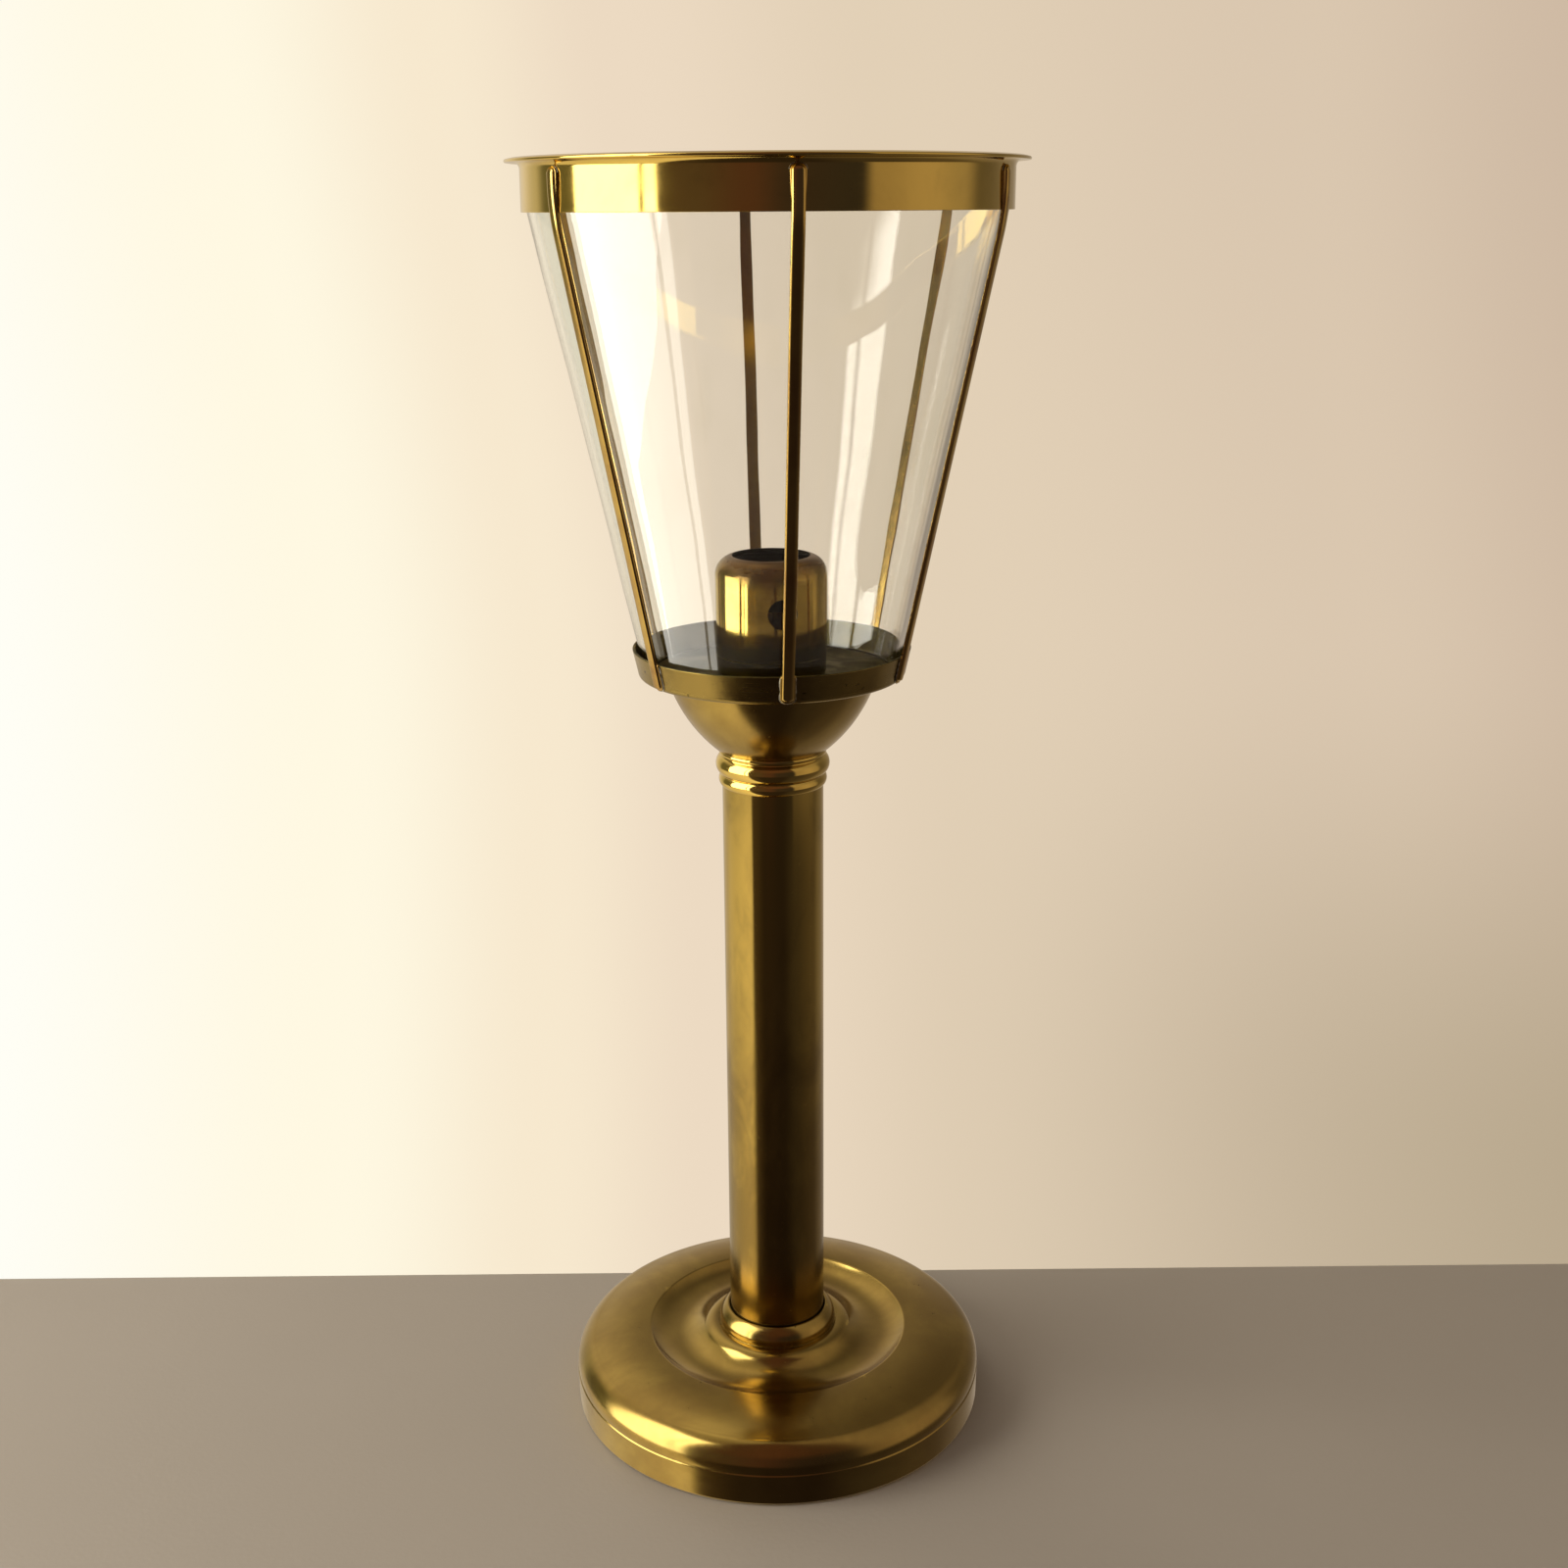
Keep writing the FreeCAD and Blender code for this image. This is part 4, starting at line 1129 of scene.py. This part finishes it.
seen_past_glass = calc(tree, "MULTIPLY", path["Is Transmission Ray"], straight_on)
seen = calc(tree, "MAXIMUM", path["Is Camera Ray"], seen_past_glass)
mirrored_before = calc(tree, "SUBTRACT", 1.0, straight_on)
through_glass = calc(tree, "MULTIPLY", path["Is Transmission Ray"], mirrored_before)
off_glass = calc(tree, "MULTIPLY", path["Is Singular Ray"], path["Is Glossy Ray"])
by_glass = calc(tree, "MAXIMUM", through_glass, off_glass)
not_sharp = calc(tree, "SUBTRACT", 1.0, path["Is Singular Ray"])
off_brass = calc(tree, "MULTIPLY", path["Is Glossy Ray"], not_sharp)
glass_far_edge = between(tree, parts[2], 0.05, 0.18, math.radians(-108), math.radians(-75))
far_edge = put(tree, "ShaderNodeMix", {0: off_brass, 2: glass_far_edge, 3: math.radians(-98)}).outputs[0]
within_far_edge = calc(tree, "GREATER_THAN", bearing, far_edge)
within_near_edge = between(tree, bearing, math.radians(-50), math.radians(-51.5))
mullion_bearing = math.radians(-58)
off_mullion = calc(tree, "ABSOLUTE", calc(tree, "SUBTRACT", bearing, mullion_bearing))
mullion = between(tree, off_mullion, math.radians(0.8), math.radians(1.6))
panes = calc(tree, "MULTIPLY", calc(tree, "MULTIPLY", within_far_edge, within_near_edge), mullion)
glass_reach = calc(tree, "MULTIPLY", by_glass, between(tree, parts[2], 0.36, 0.33))
over_sill = calc(
    tree, "MULTIPLY", between(tree, parts[2], -0.27, -0.20), between(tree, parts[2], 0.88, 0.80))
reach = calc(tree, "MAXIMUM", glass_reach, calc(tree, "MULTIPLY", off_brass, over_sill))
window_tone = (5.8, 5.6, 5.0, 1)
room_tone = blended(tree, calc(tree, "MULTIPLY", panes, reach), room_tone, window_tone)
sky_tone = blended(tree, seen, room_tone, wall_tone)
sky = put(tree, "ShaderNodeBackground", {"Color": sky_tone, "Strength": 1.0})
tree.links.new(sky.outputs[0], put(tree, "ShaderNodeOutputWorld").inputs["Surface"])

bpy.context.scene.view_settings.view_transform = "Standard"
bpy.context.scene.cycles.use_denoising = True

low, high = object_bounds()
